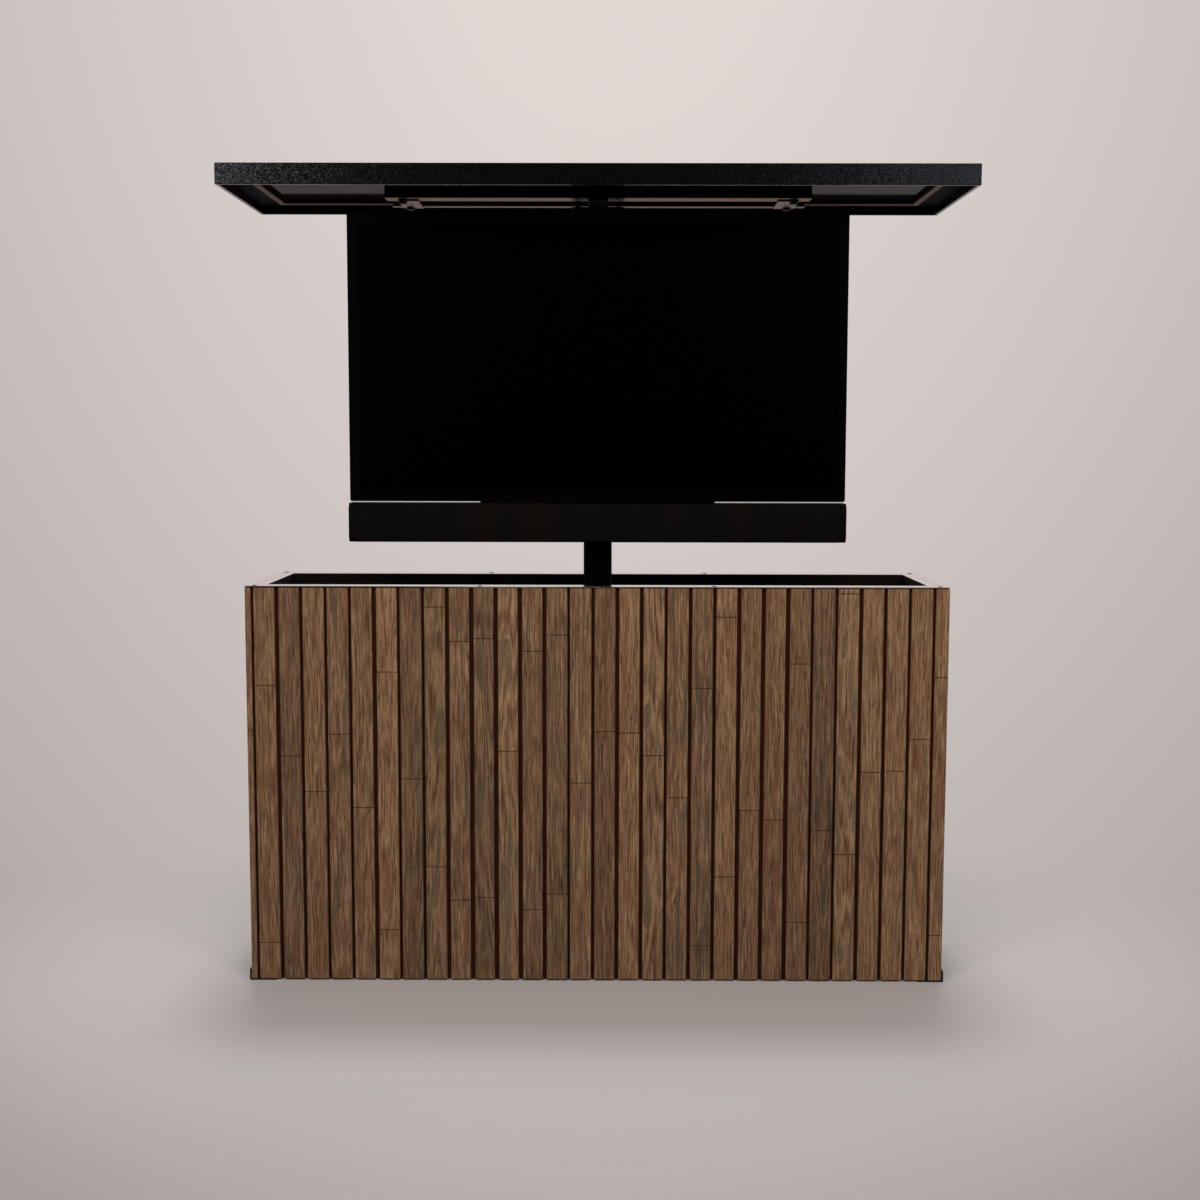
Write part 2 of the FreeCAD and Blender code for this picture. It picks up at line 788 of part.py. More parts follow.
def make_rim():
    """Flat metal caps on the wall tops, mitred at the corners, with screws.

    The slats end a little below the caps, and a seam runs along each side cap
    from one corner screw to the other.
    """
    outer_x, outer_y = "half_width", "cabinet_depth / 2"
    inner_x, inner_y = "half_width - rim_width", "cabinet_depth / 2 - rim_width"
    screw_x, screw_y = "half_width - rim_screw_side", "cabinet_depth / 2 - rim_screw_end"
    caps = []
    for side in ("-", ""):
        near, far = "%s(%s)" % (side, outer_y), "%s(%s)" % (side, inner_y)
        left, right = "%s(%s)" % (side, outer_x), "%s(%s)" % (side, inner_x)

        def long_top(sketch, near=near, far=far):
            outline(sketch, [
                ("-(%s)" % outer_x, near),
                (outer_x, near),
                (inner_x, far),
                ("-(%s)" % inner_x, far),
            ])

        def short_top(sketch, left=left, right=right):
            outline(sketch, [
                (left, "-(%s)" % outer_y),
                (left, outer_y),
                (right, inner_y),
                (right, "-(%s)" % inner_y),
            ])

        def seam(sketch, side=side):
            middle = "%s(%s)" % (side, screw_x)
            sides = ("%s - rim_seam_width / 2" % middle, "%s + rim_seam_width / 2" % middle)
            rectangle(sketch, sides, span("%s - rim_screw_radius" % screw_y))

        for top in (long_top, short_top):
            body = new_body("rim_cap_%d" % len(caps))
            pad(body, "XY_Plane", "rim_bottom", "cabinet_height", top, "top")
            caps.append(body)
        pocket(body, "XY_Plane", "cabinet_height - rim_seam_depth", "cabinet_height", seam, "seam")
    node("top_rim", group("top_rim", caps))
    screws = []
    spots = [(x, y) for x in span(screw_x) for y in span(screw_y)]
    spots += [(x, y) for x in ("-(half_width) / 3", "half_width / 3") for y in span(screw_y)]
    for x, y in spots:
        at = (x, y, "cabinet_height")
        name = "rim_screw_%d" % len(screws)
        screws.append(rod(name, at, "rim_screw_radius", "rim_screw_height", sides=8))
    node("rim_screws", group("rim_screws", screws))


def make_shoes():
    """Metal angles under the four corners, which stand on the floor."""
    shoes = []
    for side in ("-", ""):
        for end in ("-", ""):
            body = new_body("shoe_%d" % len(shoes))
            y = ["%s(cabinet_depth / 2)" % end, "%s(cabinet_depth / 2 - shoe_length)" % end]
            y = y if end else y[::-1]

            def angle(sketch, side=side):
                corners = [
                    ("half_width + shoe_side", "0"),
                    ("half_width + shoe_side", "shoe_height"),
                    ("half_width", "shoe_height"),
                    ("half_width", "shoe_sole"),
                    ("half_width - shoe_reach", "shoe_sole"),
                    ("half_width - shoe_reach + shoe_taper", "0"),
                ]
                outline(sketch, [("%s(%s)" % (side, x), z) for x, z in corners])

            pad(body, "XZ_Plane", *y, angle)
            shoes.append(body)
    node("corner_shoes", group("corner_shoes", shoes))


# ---------------------------------------------------------------- lid
def make_lid():
    """A folded metal tray over a core board, with a ceiling panel and a seal."""
    wide, deep = span("lid_half_x"), span("lid_half_y")
    body = new_body("lid_shell")

    def plan(sketch):
        rectangle(sketch, wide, deep)

    def inside(sketch):
        rectangle(sketch, span("lid_half_x - lid_sheet"), span("lid_half_y - lid_sheet"))

    def mouth(sketch):
        rectangle(sketch, span("lid_half_x - hem_width"), span("lid_half_y - hem_width"))

    pad(body, "XY_Plane", "lid_bottom", "lid_top", plan, "block")
    pocket(body, "XY_Plane", "lid_bottom + lid_sheet", "lid_top - lid_sheet", inside, "inside")
    pocket(body, "XY_Plane", "lid_bottom - 1", "lid_bottom + lid_sheet", mouth, "mouth")
    node("lid_shell", body)

    core = new_body("lid_soffit")

    def recess(sketch):
        rectangle(sketch, span("recess_x"), span("recess_y"))

    pad(core, "XY_Plane", "soffit_level", "lid_top - lid_sheet", inside, "board")
    pocket(core, "XY_Plane", "soffit_level - 1", "ceiling_level + ceiling_thickness", recess, "recess")
    node("lid_soffit", core)

    panel = new_body("lid_ceiling_panel")
    pad(panel, "XY_Plane", "ceiling_level", "ceiling_level + ceiling_thickness", recess)
    node("lid_ceiling_panel", panel)

    seal = new_body("lid_seal")

    def strip(sketch):
        rectangle(sketch, span("seal_outer_x"), span("seal_outer_y"))
        rectangle(sketch, span("recess_x"), span("recess_y"))

    pad(seal, "XY_Plane", "soffit_level - seal_thickness", "soffit_level", strip)
    node("lid_seal", seal)


# ---------------------------------------------------------------- lift column
def tube_outline(sketch, stage, inward, corner):
    """A stage's rounded rectangle, moved inward from its outside."""
    x = span("%s_tube_width / 2 - (%s)" % (stage, inward))
    half = "(%s_tube_depth / 2 - (%s))" % (stage, inward)
    rounded(sketch, x, ("column_y - %s" % half, "column_y + %s" % half), corner)


def make_tube(stage, low, high):
    """One stage of the column: a drawn rectangular tube."""
    body = new_body(stage + "_tube")

    def section(sketch):
        tube_outline(sketch, stage, "0", "tube_corner")
        tube_outline(sketch, stage, "tube_wall", "tube_corner - tube_wall")

    pad(body, "XY_Plane", low, high, section)
    node(stage + "_tube", body)


def make_collar(stage, inner_stage, top):
    """A plastic glide collar in a tube's mouth, standing a little above its edge."""
    body = new_body(stage + "_tube_collar")

    def sleeve(sketch):
        tube_outline(sketch, stage, "tube_wall", "tube_corner - tube_wall")
        tube_outline(sketch, inner_stage, "-(glide_clearance)", "tube_corner")

    pad(body, "XY_Plane", "%s - glide_height" % top, "%s + collar_lip" % top, sleeve)
    node(stage + "_tube_collar", body)


def make_foot_glide(stage, outer_stage, low):
    """A plastic glide round the foot of a stage, running in the next tube."""
    body = new_body(stage + "_tube_glide")

    def section(sketch):
        tube_outline(sketch, outer_stage, "tube_wall + glide_clearance", "tube_corner - tube_wall")
        tube_outline(sketch, stage, "0", "tube_corner")

    pad(body, "XY_Plane", low, "%s + glide_height" % low, section)
    node(stage + "_tube_glide", body)


def make_column():
    """Three nested tubes, each guided by a collar above and a glide below."""
    make_tube("outer", "gearbox_top", "outer_tube_top")
    make_tube("mid", "mid_tube_bottom", "mid_tube_top")
    make_tube("inner", "inner_tube_bottom", "inner_tube_top")
    make_collar("outer", "mid", "outer_tube_top")
    make_collar("mid", "inner", "mid_tube_top")
    make_foot_glide("mid", "outer", "mid_tube_bottom")
    make_foot_glide("inner", "mid", "inner_tube_bottom")


def make_drive():
    """Gearmotor, thrust bearing, drive screw and the nut in the middle tube."""
    plate = new_body("lift_base_plate")
    half_x, half_y = "lift_plate_width / 2", "lift_plate_depth / 2"
    bolt_x, bolt_y = "lift_plate_width / 2 - anchor_inset", "lift_plate_depth / 2 - anchor_inset"
    y = ("column_y - %s" % half_y, "column_y + %s" % half_y)

    def plate_plan(sketch):
        rounded(sketch, span(half_x), y, "tube_corner")

    pad(plate, "XY_Plane", "base_top", "lift_plate_top", plate_plan)
    node("lift_base_plate", plate)
    bolts = []
    for x in span(bolt_x):
        for where in ("column_y - (%s)" % bolt_y, "column_y + (%s)" % bolt_y):
            name = "anchor_bolt_%d" % len(bolts)
            at = (x, where, "lift_plate_top")
            bolts.append(rod(name, at, "anchor_radius", "anchor_height", sides=6))
    node("anchor_bolts", group("anchor_bolts", bolts))

    box = new_body("gearbox")
    reach = "outer_tube_depth / 2 + gearbox_margin"

    def box_plan(sketch):
        left = "-(outer_tube_width / 2 + gearbox_margin)"
        right = "motor_offset + motor_radius + gearbox_margin"
        depth = ("column_y - (%s)" % reach, "column_y + (%s)" % reach)
        rounded(sketch, (left, right), depth, "gearbox_corner")

    def bearing_seat(sketch):
        ring(sketch, ("0", "column_y"), "bearing_radius")

    pad(box, "XY_Plane", "lift_plate_top", "gearbox_top", box_plan)
    pocket(box, "XY_Plane", "gearbox_top - bearing_height", "gearbox_top", bearing_seat)
    node("gearbox", box)

    bearing = new_body("screw_bearing")
    bore = "screw_radius + screw_clearance"
    rim = "bearing_radius - screw_clearance"
    low = "gearbox_top - bearing_height"
    turned(bearing, [
        (bore, low),
        (rim, low),
        (rim, "gearbox_top"),
        (bore, "gearbox_top"),
    ], ("0", "column_y"))
    node("screw_bearing", bearing)

    screw = new_body("drive_screw")
    top = "mid_tube_bottom + nut_height + screw_nose"
    turned(screw, [
        ("0", "%s + screw_clearance" % low),
        ("screw_radius", "%s + screw_clearance" % low),
        ("screw_radius", "%s - screw_chamfer" % top),
        ("screw_radius - screw_chamfer", top),
        ("0", top),
    ], ("0", "column_y"))
    node("drive_screw", screw)

    nut = new_body("drive_nut")

    def nut_plan(sketch):
        tube_outline(sketch, "mid", "tube_wall", "tube_corner - tube_wall")
        ring(sketch, ("0", "column_y"), "screw_radius + screw_clearance")

    pad(nut, "XY_Plane", "mid_tube_bottom", "mid_tube_bottom + nut_height", nut_plan)
    node("drive_nut", nut)

    motor = new_body("gearmotor")
    foot = "gearbox_top"
    head = "gearbox_top + motor_length"
    turned(motor, [
        ("0", foot),
        ("motor_radius", foot),
        ("motor_radius", "%s + motor_step * 2" % foot),
        ("motor_radius - motor_step", "%s + motor_step * 3" % foot),
        ("motor_radius - motor_step", "%s - motor_step" % head),
        ("motor_radius - motor_step * 2", head),
        ("0", head),
    ], ("motor_offset", "column_y"))
    node("gearmotor", motor)


def make_brace():
    """A channel that ties the fixed tube to the back of the cabinet."""
    body = new_body("column_brace")
    near = "column_y + outer_tube_depth / 2"
    far = "panel_back_inner_y"
    half = "brace_width / 2"
    web = "outer_tube_width / 2"
    low = "outer_tube_top - brace_drop"

    def plan(sketch):
        outline(sketch, [
            ("-(%s)" % web, near),
            (web, near),
            (web, "%s - rail_wall" % far),
            (half, "%s - rail_wall" % far),
            (half, far),
            ("-(%s)" % half, far),
            ("-(%s)" % half, "%s - rail_wall" % far),
            ("-(%s)" % web, "%s - rail_wall" % far),
        ])
        rectangle(sketch, span("%s - rail_wall" % web), ("%s + rail_wall" % near, "%s - rail_wall" % far))

    pad(body, "XY_Plane", low, "%s + brace_height" % low, plan)
    node("column_brace", body)


def make_control_box():
    """The lift's control box on the back wall, with its power inlet."""
    body = new_body("control_box")
    x = ("-(control_across + control_width / 2)", "-(control_across - control_width / 2)")
    z = ("control_level", "control_level + control_height")
    back = "panel_back_inner_y"

    def face(sketch):
        rounded(sketch, x, z, "tube_corner")

    pad(body, "XZ_Plane", "%s - control_depth" % back, back, face)
    node("control_box", body)
    inlet = new_body("power_inlet")
    side = "-(control_across - control_width / 2)"
    middle_y = "(%s - control_depth / 2)" % back
    middle_z = "(control_level + inlet_rise + inlet_height / 2)"

    def opening(sketch, wall):
        wide, high = "(inlet_width / 2 - %s)" % wall, "(inlet_height / 2 - %s)" % wall
        rectangle(
            sketch,
            ("%s - %s" % (middle_y, wide), "%s + %s" % (middle_y, wide)),
            ("%s - %s" % (middle_z, high), "%s + %s" % (middle_z, high)),
        )

    outer = "%s + inlet_reach" % side
    pad(inlet, "YZ_Plane", side, outer, lambda sketch: opening(sketch, "0"))
    pocket(inlet, "YZ_Plane", "%s + inlet_wall" % side, outer, lambda sketch: opening(sketch, "inlet_wall"))
    node("power_inlet", inlet)


# ---------------------------------------------------------------- carrier frame
def channel(body, front, back, web_in_front):
    """A channel rail: a web on one side and a flange above and below."""
    top, bottom = "ceiling_level", "tie_top"
    wall = "rail_wall"

    def section(sketch):
        if web_in_front:
            upper = "%s + rail_flange" % front
            outline(sketch, [
                (front, bottom),
                (back, bottom),
                (back, "%s + %s" % (bottom, wall)),
                ("%s + %s" % (front, wall), "%s + %s" % (bottom, wall)),
                ("%s + %s" % (front, wall), "%s - %s" % (top, wall)),
                (upper, "%s - %s" % (top, wall)),
                (upper, top),
                (front, top),
            ])
        else:
            outline(sketch, [
                (front, bottom),
                (back, bottom),
                (back, top),
                (front, top),
                (front, "%s - %s" % (top, wall)),
                ("%s - %s" % (back, wall), "%s - %s" % (top, wall)),
                ("%s - %s" % (back, wall), "%s + %s" % (bottom, wall)),
                (front, "%s + %s" % (bottom, wall)),
            ])

    pad(body, "YZ_Plane", *span("rail_length / 2"), section)


def make_carrier():
    """Two rails under the ceiling panel, tied by plates, on the column's head."""
    body = new_body("front_rail")
    channel(body, "front_rail_y", "front_rail_back_y", True)
    node("front_rail", body)
    body = new_body("rear_rail")
    channel(body, "rear_rail_y", "rear_rail_back_y", False)
    node("rear_rail", body)

    y = ("tie_front_y", "tie_back_y")
    middle = "(tie_front_y + tie_back_y) / 2"
    plates = []
    for side in ("-", ""):
        body = new_body("end_plate_%d" % len(plates))
        x = ["%s(end_plate_inner)" % side, "%s(end_plate_inner + end_plate_width)" % side]
        x = x[::-1] if side else x
        centre = "%s(end_plate_inner + end_plate_width / 2)" % side

        def plate(sketch, x=x):
            rectangle(sketch, x, y)

        def hole(sketch, centre=centre):
            ring(sketch, (centre, middle), "plate_hole_radius")

        pad(body, "XY_Plane", "tie_bottom", "tie_top", plate)
        pocket(body, "XY_Plane", "tie_bottom - 1", "tie_top + 1", hole)
        plates.append(body)
    node("end_plates", group("end_plates", plates))
    body = new_body("centre_tie")

    def tie_plan(sketch):
        rectangle(sketch, span("centre_tie_width / 2"), y)

    pad(body, "XY_Plane", "tie_bottom", "tie_top", tie_plan)
    node("centre_tie", body)

    bolts = []
    near = "tie_front_y + tie_lap / 2"
    far = "tie_back_y - tie_lap / 2"
    for side in ("-", ""):
        for step, where in (("plate_bolt_front", near), ("plate_bolt_rear", far)):
            at = ("%s(end_plate_inner + %s)" % (side, step), where, "tie_bottom - bolt_height")
            name = "carrier_bolt_%d" % len(bolts)
            bolts.append(rod(name, at, "plate_bolt_radius", "bolt_height", sides=6))
    for x in span("centre_tie_width / 2 - tie_bolt_inset"):
        for where in (near, far):
            at = (x, where, "tie_top + rail_wall")
            name = "carrier_bolt_%d" % len(bolts)
            bolts.append(rod(name, at, "bolt_radius", "bolt_height", sides=6))
    node("carrier_bolts", group("carrier_bolts", bolts))

    body = new_body("isolator_pad")

    def pad_plan(sketch):
        deep = ("column_y - isolator_depth / 2", "column_y + isolator_depth / 2")
        rectangle(sketch, span("centre_tie_width / 2"), deep)

    pad(body, "XY_Plane", "head_plate_top", "tie_bottom", pad_plan)
    node("isolator_pad", body)

    body = new_body("head_plate")

    def head_plan(sketch):
        rounded(sketch, span("head_plate_width / 2"), ("head_front_y", "head_back_y"), "plate_corner")

    pad(body, "XY_Plane", "head_plate_bottom", "head_plate_top", head_plan)
    node("head_plate", body)
    bolts = []
    for x in span("head_plate_width / 2 - head_bolt_side"):
        for where in ("head_front_y + head_bolt_end", "head_back_y - head_bolt_end"):
            at = (x, where, "head_plate_top")
            name = "head_bolt_%d" % len(bolts)
            bolts.append(rod(name, at, "bolt_radius", "bolt_height", sides=6))
    node("head_bolts", group("head_bolts", bolts))


# ---------------------------------------------------------------- screen mount
def make_mount():
    """A hanger from the head plate, cross rails on it and two upright arms."""
    body = new_body("mount_hanger")
    half = "head_plate_width / 2"
    wall = "hanger_wall"

    def section(sketch):
        outline(sketch, [
            ("-(%s)" % half, "head_front_y"),
            (half, "head_front_y"),
            (half, "hanger_back_y"),
            ("%s - %s" % (half, wall), "hanger_back_y"),
            ("%s - %s" % (half, wall), "head_front_y + %s" % wall),
            ("-(%s - %s)" % (half, wall), "head_front_y + %s" % wall),
            ("-(%s - %s)" % (half, wall), "hanger_back_y"),
            ("-(%s)" % half, "hanger_back_y"),
        ])

    pad(body, "XY_Plane", "head_plate_bottom - hanger_length", "head_plate_bottom", section)
    node("mount_hanger", body)

    rails = []
    for side in ("-", "+"):
        body = new_body("cross_rail_%d" % len(rails))
        middle = "tv_middle %s vesa_height / 2" % side
        low, high = "%s - cross_rail_height / 2" % middle, "%s + cross_rail_height / 2" % middle

        def rail(sketch, low=low, high=high):
            outline(sketch, [
                ("arm_back_y", low),
                ("head_front_y", low),
                ("head_front_y", "%s + arm_wall" % low),
                ("arm_back_y + arm_wall", "%s + arm_wall" % low),
                ("arm_back_y + arm_wall", "%s - arm_wall" % high),
                ("head_front_y", "%s - arm_wall" % high),
                ("head_front_y", high),
                ("arm_back_y", high),
            ])

        pad(body, "YZ_Plane", *span("cross_rail_length / 2"), rail)
        rails.append(body)
    node("cross_rails", group("cross_rails", rails))

    low = "tv_middle - vesa_height / 2 - arm_margin"
    high = "tv_middle + vesa_height / 2 + arm_margin"
    arms = []
    for side in ("-", ""):
        body = new_body("mount_arm_%d" % len(arms))
        centre = "%s(vesa_width / 2)" % side
        left, right = "%s - arm_width / 2" % centre, "%s + arm_width / 2" % centre

        def arm(sketch, left=left, right=right):
            outline(sketch, [
                (left, "tv_back_y"),
                (right, "tv_back_y"),
                (right, "arm_back_y"),
                ("%s - arm_wall" % right, "arm_back_y"),
                ("%s - arm_wall" % right, "tv_back_y + arm_wall"),
                ("%s + arm_wall" % left, "tv_back_y + arm_wall"),
                ("%s + arm_wall" % left, "arm_back_y"),
                (left, "arm_back_y"),
            ])

        pad(body, "XY_Plane", low, high, arm)
        arms.append(body)
    node("mount_arms", group("mount_arms", arms))
    screws = []
    for x in span("vesa_width / 2"):
        for z in ("tv_middle - vesa_height / 2", "tv_middle + vesa_height / 2"):
            at = (x, "tv_back_y + arm_wall", z)
            name = "mount_screw_%d" % len(screws)
            screws.append(rod(name, at, "bolt_radius", "bolt_height", "y", 6))
    node("mount_screws", group("mount_screws", screws))


# ---------------------------------------------------------------- television
def make_television():
    """Bezel, glass and a back cover whose tapered bay has vents and a port recess."""
    x, z = span("tv_width / 2"), ("tv_bottom", "tv_top")
    sight_x = "tv_width / 2 - bezel_side"
    sight_z = ("tv_bottom + bezel_bottom", "tv_top - bezel_top")
    glass_x = span("%s + screen_lap" % sight_x)
    glass_z = ("%s - screen_lap" % sight_z[0], "%s + screen_lap" % sight_z[1])
    body = new_body("tv_bezel")

    def frame(sketch):
        rounded(sketch, x, z, "tv_corner")

    def sight(sketch):
        rectangle(sketch, span(sight_x), sight_z)

    def rebate(sketch):
        rectangle(sketch, glass_x, glass_z)

    pad(body, "XZ_Plane", "tv_front_y", "bezel_back_y", frame)
    pocket(body, "XZ_Plane", "tv_front_y - 1", "bezel_back_y + 1", sight, "sight")
    pocket(body, "XZ_Plane", "screen_front_y", "bezel_back_y + 1", rebate, "rebate")
    node("tv_bezel", body)

    glass = new_body("tv_screen")
    pad(glass, "XZ_Plane", "screen_front_y", "screen_front_y + screen_thickness", rebate)
    node("tv_screen", glass)

    module = new_body("tv_display_module")

    def panel(sketch):
        inner_z = ("%s + tv_fit" % glass_z[0], "%s - tv_fit" % glass_z[1])
        rectangle(sketch, span("%s + screen_lap - tv_fit" % sight_x), inner_z)

    pad(module, "XZ_Plane", "screen_front_y + screen_thickness", "bezel_back_y", panel)
    node("tv_display_module", module)

    cover = new_body("tv_back_cover")

    def tray(sketch):
        rounded(sketch, x, z, "tv_corner")

    def bay(inward):
        edge = "tv_back_margin + (%s)" % inward
        bay_z = ("tv_bottom + %s" % edge, "tv_top - (%s)" % edge)
        return span("tv_width / 2 - (%s)" % edge), bay_z

    def hollow(sketch):
        rounded(sketch, *bay("tv_back_slope + tv_wall"), "tv_bay_corner")

    port_z = ("tv_middle - port_height / 2", "tv_middle + port_height / 2")

    def port(sketch, wall):
        rectangle(
            sketch,
            ("port_across - %s" % wall, "port_across + port_width + %s" % wall),
            ("%s - %s" % (port_z[0], wall), "%s + %s" % (port_z[1], wall)),
        )

    def vents(sketch):
        top = "tv_top - tv_back_margin - tv_back_slope - tv_vent_drop"
        for number in range(TV_VENTS):
            middle = "tv_vent_pitch * %s" % (number - (TV_VENTS - 1) / 2)
            x = ("%s - tv_vent_width / 2" % middle, "%s + tv_vent_width / 2" % middle)
            rectangle(sketch, x, ("%s - tv_vent_height" % top, top))

    pad(cover, "XZ_Plane", "bezel_back_y", "bezel_back_y + tv_rim_depth", tray, "tray")
    low = start_sketch(cover, "XZ_Plane", "tv_bay_foot", "bezel_back_y + tv_rim_depth")
    rounded(low, *bay("0"), "tv_bay_corner")
    high = start_sketch(cover, "XZ_Plane", "tv_bay_top", "tv_back_y")
    rounded(high, *bay("tv_back_slope"), "tv_bay_corner")
    loft = cover.newObject("PartDesign::AdditiveLoft", "tv_bay")
    loft.Profile = low
    loft.Sections = [high]
    loft.Ruled = True
    inner_y = "tv_back_y - tv_wall"
    pocket(cover, "XZ_Plane", "bezel_back_y", inner_y, hollow, "hollow")
    floor_y = "tv_back_y - port_depth"
    behind_y = "%s - tv_wall" % floor_y
    pad(cover, "XZ_Plane", behind_y, inner_y, lambda sketch: port(sketch, "tv_wall"), "port")
    pocket(cover, "XZ_Plane", floor_y, "tv_back_y", lambda sketch: port(sketch, "0"), "port_recess")
    pocket(cover, "XZ_Plane", inner_y, "tv_back_y", vents, "vents")
    node("tv_back_cover", cover)


# ---------------------------------------------------------------- sound bar
def make_sound_bar():
    """A long bar under the television, on a plate behind both."""
    z = ("bar_bottom", "bar_top")
    inner = "bar_width / 2 - bar_cap"
    front = "bar_front_y + grille_depth"

    def side_view(sketch):
        outline(sketch, [
            ("bar_front_y + bar_corner", z[0]),
            ("tv_back_y", z[0]),
            ("tv_back_y", z[1]),
            ("bar_front_y + bar_corner", z[1]),
            ("bar_front_y", "%s - bar_corner" % z[1]),
            ("bar_front_y", "%s + bar_corner" % z[0]),
        ])

    body = new_body("sound_bar_body")
    pad(body, "YZ_Plane", *span(inner), lambda sketch: rectangle(sketch, (front, "tv_back_y"), z))
    node("sound_bar_body", body)
    grille = new_body("sound_bar_grille")

    def curved_front(sketch):
        outline(sketch, [
            (front, z[0]),
            (front, z[1]),
            ("bar_front_y + grille_shoulder", "%s - grille_edge" % z[1]),
            ("bar_front_y", "%s - grille_bevel" % z[1]),
            ("bar_front_y", "%s + grille_bevel" % z[0]),
            ("bar_front_y + grille_shoulder", "%s + grille_edge" % z[0]),
        ])

    pad(grille, "YZ_Plane", *span(inner), curved_front)
    node("sound_bar_grille", grille)
    caps = []
    for ends in (("-(bar_width / 2)", "-(%s)" % inner), (inner, "bar_width / 2")):
        cap = new_body("sound_bar_cap_%d" % len(caps))
        pad(cap, "YZ_Plane", *ends, side_view)
        caps.append(cap)
    node("sound_bar_end_caps", group("sound_bar_end_caps", caps))

    spacer = block(
        "bracket_spacer",
        span("chin_width / 2"),
        ("bar_front_y + spacer_setback", "tv_back_y"),
        ("bar_top", "tv_bottom"),
    )
    plate = block(
        "bracket_plate",
        span("chin_width / 2"),
        ("tv_back_y", "tv_back_y + bracket_thickness"),
        ("bar_bottom + bracket_foot", "bar_bottom + bracket_foot + bracket_height"),
    )
    pieces = [spacer, plate]
    y = ("tv_back_y", "tv_back_y + bracket_thickness")
    level = ("bar_bottom + bracket_foot", "tv_bottom + strap_reach")
    for side in ("-", "+"):
        middle = "%s strap_spread / 2" % side
        x = ("%s - strap_width / 2" % middle, "%s + strap_width / 2" % middle)
        pieces.append(block("bracket_strap_%d" % len(pieces), x, y, level))
    node("sound_bar_bracket", fuse("sound_bar_bracket", pieces))


# ---------------------------------------------------------------- the whole
make_panels()
make_battens()
make_slats()
make_access_panel()
make_rim()
make_shoes()
make_lid()
make_column()
make_drive()
make_brace()
make_control_box()
make_carrier()
make_mount()
make_television()
make_sound_bar()
doc.recompute()

faults = []
for thing in doc.Objects:
    if "Invalid" in thing.State or "Error" in thing.State:
        faults.append("%s: %s" % (thing.Label, thing.State))
for thing in NODES:
    shape = getattr(thing, "Shape", None)
    if shape is None or shape.isNull() or not shape.isValid() or not shape.Solids:
        faults.append("%s has no valid solid" % thing.Label)
if faults:
    raise RuntimeError("; ".join(faults))

os.makedirs("parts", exist_ok=True)
for thing in NODES:
    thing.Shape.exportStep("parts/%s.step" % thing.Label)
    box = thing.Shape.BoundBox
    reach = (box.XMin, box.XMax, box.YMin, box.YMax, box.ZMin, box.ZMax)
    print("%-22s %3d solids" % (thing.Label, len(thing.Shape.Solids)), *("%8.1f" % edge for edge in reach))
print(len(NODES), "nodes")
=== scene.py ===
# %% [markdown]
# # A television lift cabinet, raised
# A long slatted cabinet stands on four corner shoes. A three stage column in it has lifted
# a television, a sound bar and the cabinet's own lid, whose dark underside shows from below.
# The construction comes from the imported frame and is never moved. These cells give it light,
# surfaces and the small pieces that the frame leaves plain.

# %% The frame
import bpy
import bmesh
import json
import math
from mathutils import Matrix, Vector


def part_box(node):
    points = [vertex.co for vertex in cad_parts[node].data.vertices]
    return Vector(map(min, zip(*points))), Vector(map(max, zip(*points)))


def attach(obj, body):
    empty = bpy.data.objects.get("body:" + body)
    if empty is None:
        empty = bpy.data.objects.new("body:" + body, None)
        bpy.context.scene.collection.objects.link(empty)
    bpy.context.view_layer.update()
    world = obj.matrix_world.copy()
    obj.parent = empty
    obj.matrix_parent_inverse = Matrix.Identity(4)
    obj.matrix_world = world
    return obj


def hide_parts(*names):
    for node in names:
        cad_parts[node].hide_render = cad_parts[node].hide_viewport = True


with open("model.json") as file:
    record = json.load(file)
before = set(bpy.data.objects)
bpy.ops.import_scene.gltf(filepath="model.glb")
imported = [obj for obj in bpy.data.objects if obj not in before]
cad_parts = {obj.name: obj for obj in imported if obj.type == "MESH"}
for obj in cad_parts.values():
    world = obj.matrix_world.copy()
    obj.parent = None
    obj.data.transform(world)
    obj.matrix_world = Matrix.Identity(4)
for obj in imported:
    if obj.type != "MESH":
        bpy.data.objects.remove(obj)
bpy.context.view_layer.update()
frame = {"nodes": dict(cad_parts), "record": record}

MM = 0.001
nodes = frame["nodes"]

# %% [markdown]
# ## The camera
# The view is a product view from the front, from about chest height and 3.5 m away, looking
# slightly down. The lid is above the lens, so its underside shows, and the cabinet is below
# it, so the rim's top shows. A long lens keeps the upright lines nearly parallel. The three
# angles, in radians, turn the camera a little off the straight view.

# %% Camera
CAMERA_PLACE = Vector((0.0225, -3.7710, 1.2275))
CAMERA_PITCH = 0.0982
CAMERA_TURN = 0.0044
CAMERA_ROLL = 0.0020
SENSOR_MM = 36.0
LENS_MM = 48.27
SIGHT_END = 200.0


def put(name, data):
    """A new object in the scene, at the origin."""
    made = bpy.data.objects.new(name, data)
    bpy.context.scene.collection.objects.link(made)
    return made


camera = put("camera", bpy.data.cameras.new("camera"))
camera.data.sensor_width = SENSOR_MM
camera.data.lens = LENS_MM
camera.data.clip_end = SIGHT_END
turn = Matrix.Rotation(CAMERA_TURN, 4, "Z")
tilt = Matrix.Rotation(math.pi / 2 - CAMERA_PITCH, 4, "X")
roll = Matrix.Rotation(CAMERA_ROLL, 4, "Z")
camera.matrix_world = Matrix.Translation(CAMERA_PLACE) @ turn @ tilt @ roll
bpy.context.scene.camera = camera
print("camera:", [round(c, 3) for c in CAMERA_PLACE], "lens", camera.data.lens)

# %% [markdown]
# ## Colour and nodes
# Colours are written as sRGB hex values, as a paint maker's chart gives them, and one
# function turns them to the linear numbers that shaders work in. Another adds a shader
# node, so that a material reads as a list of steps.

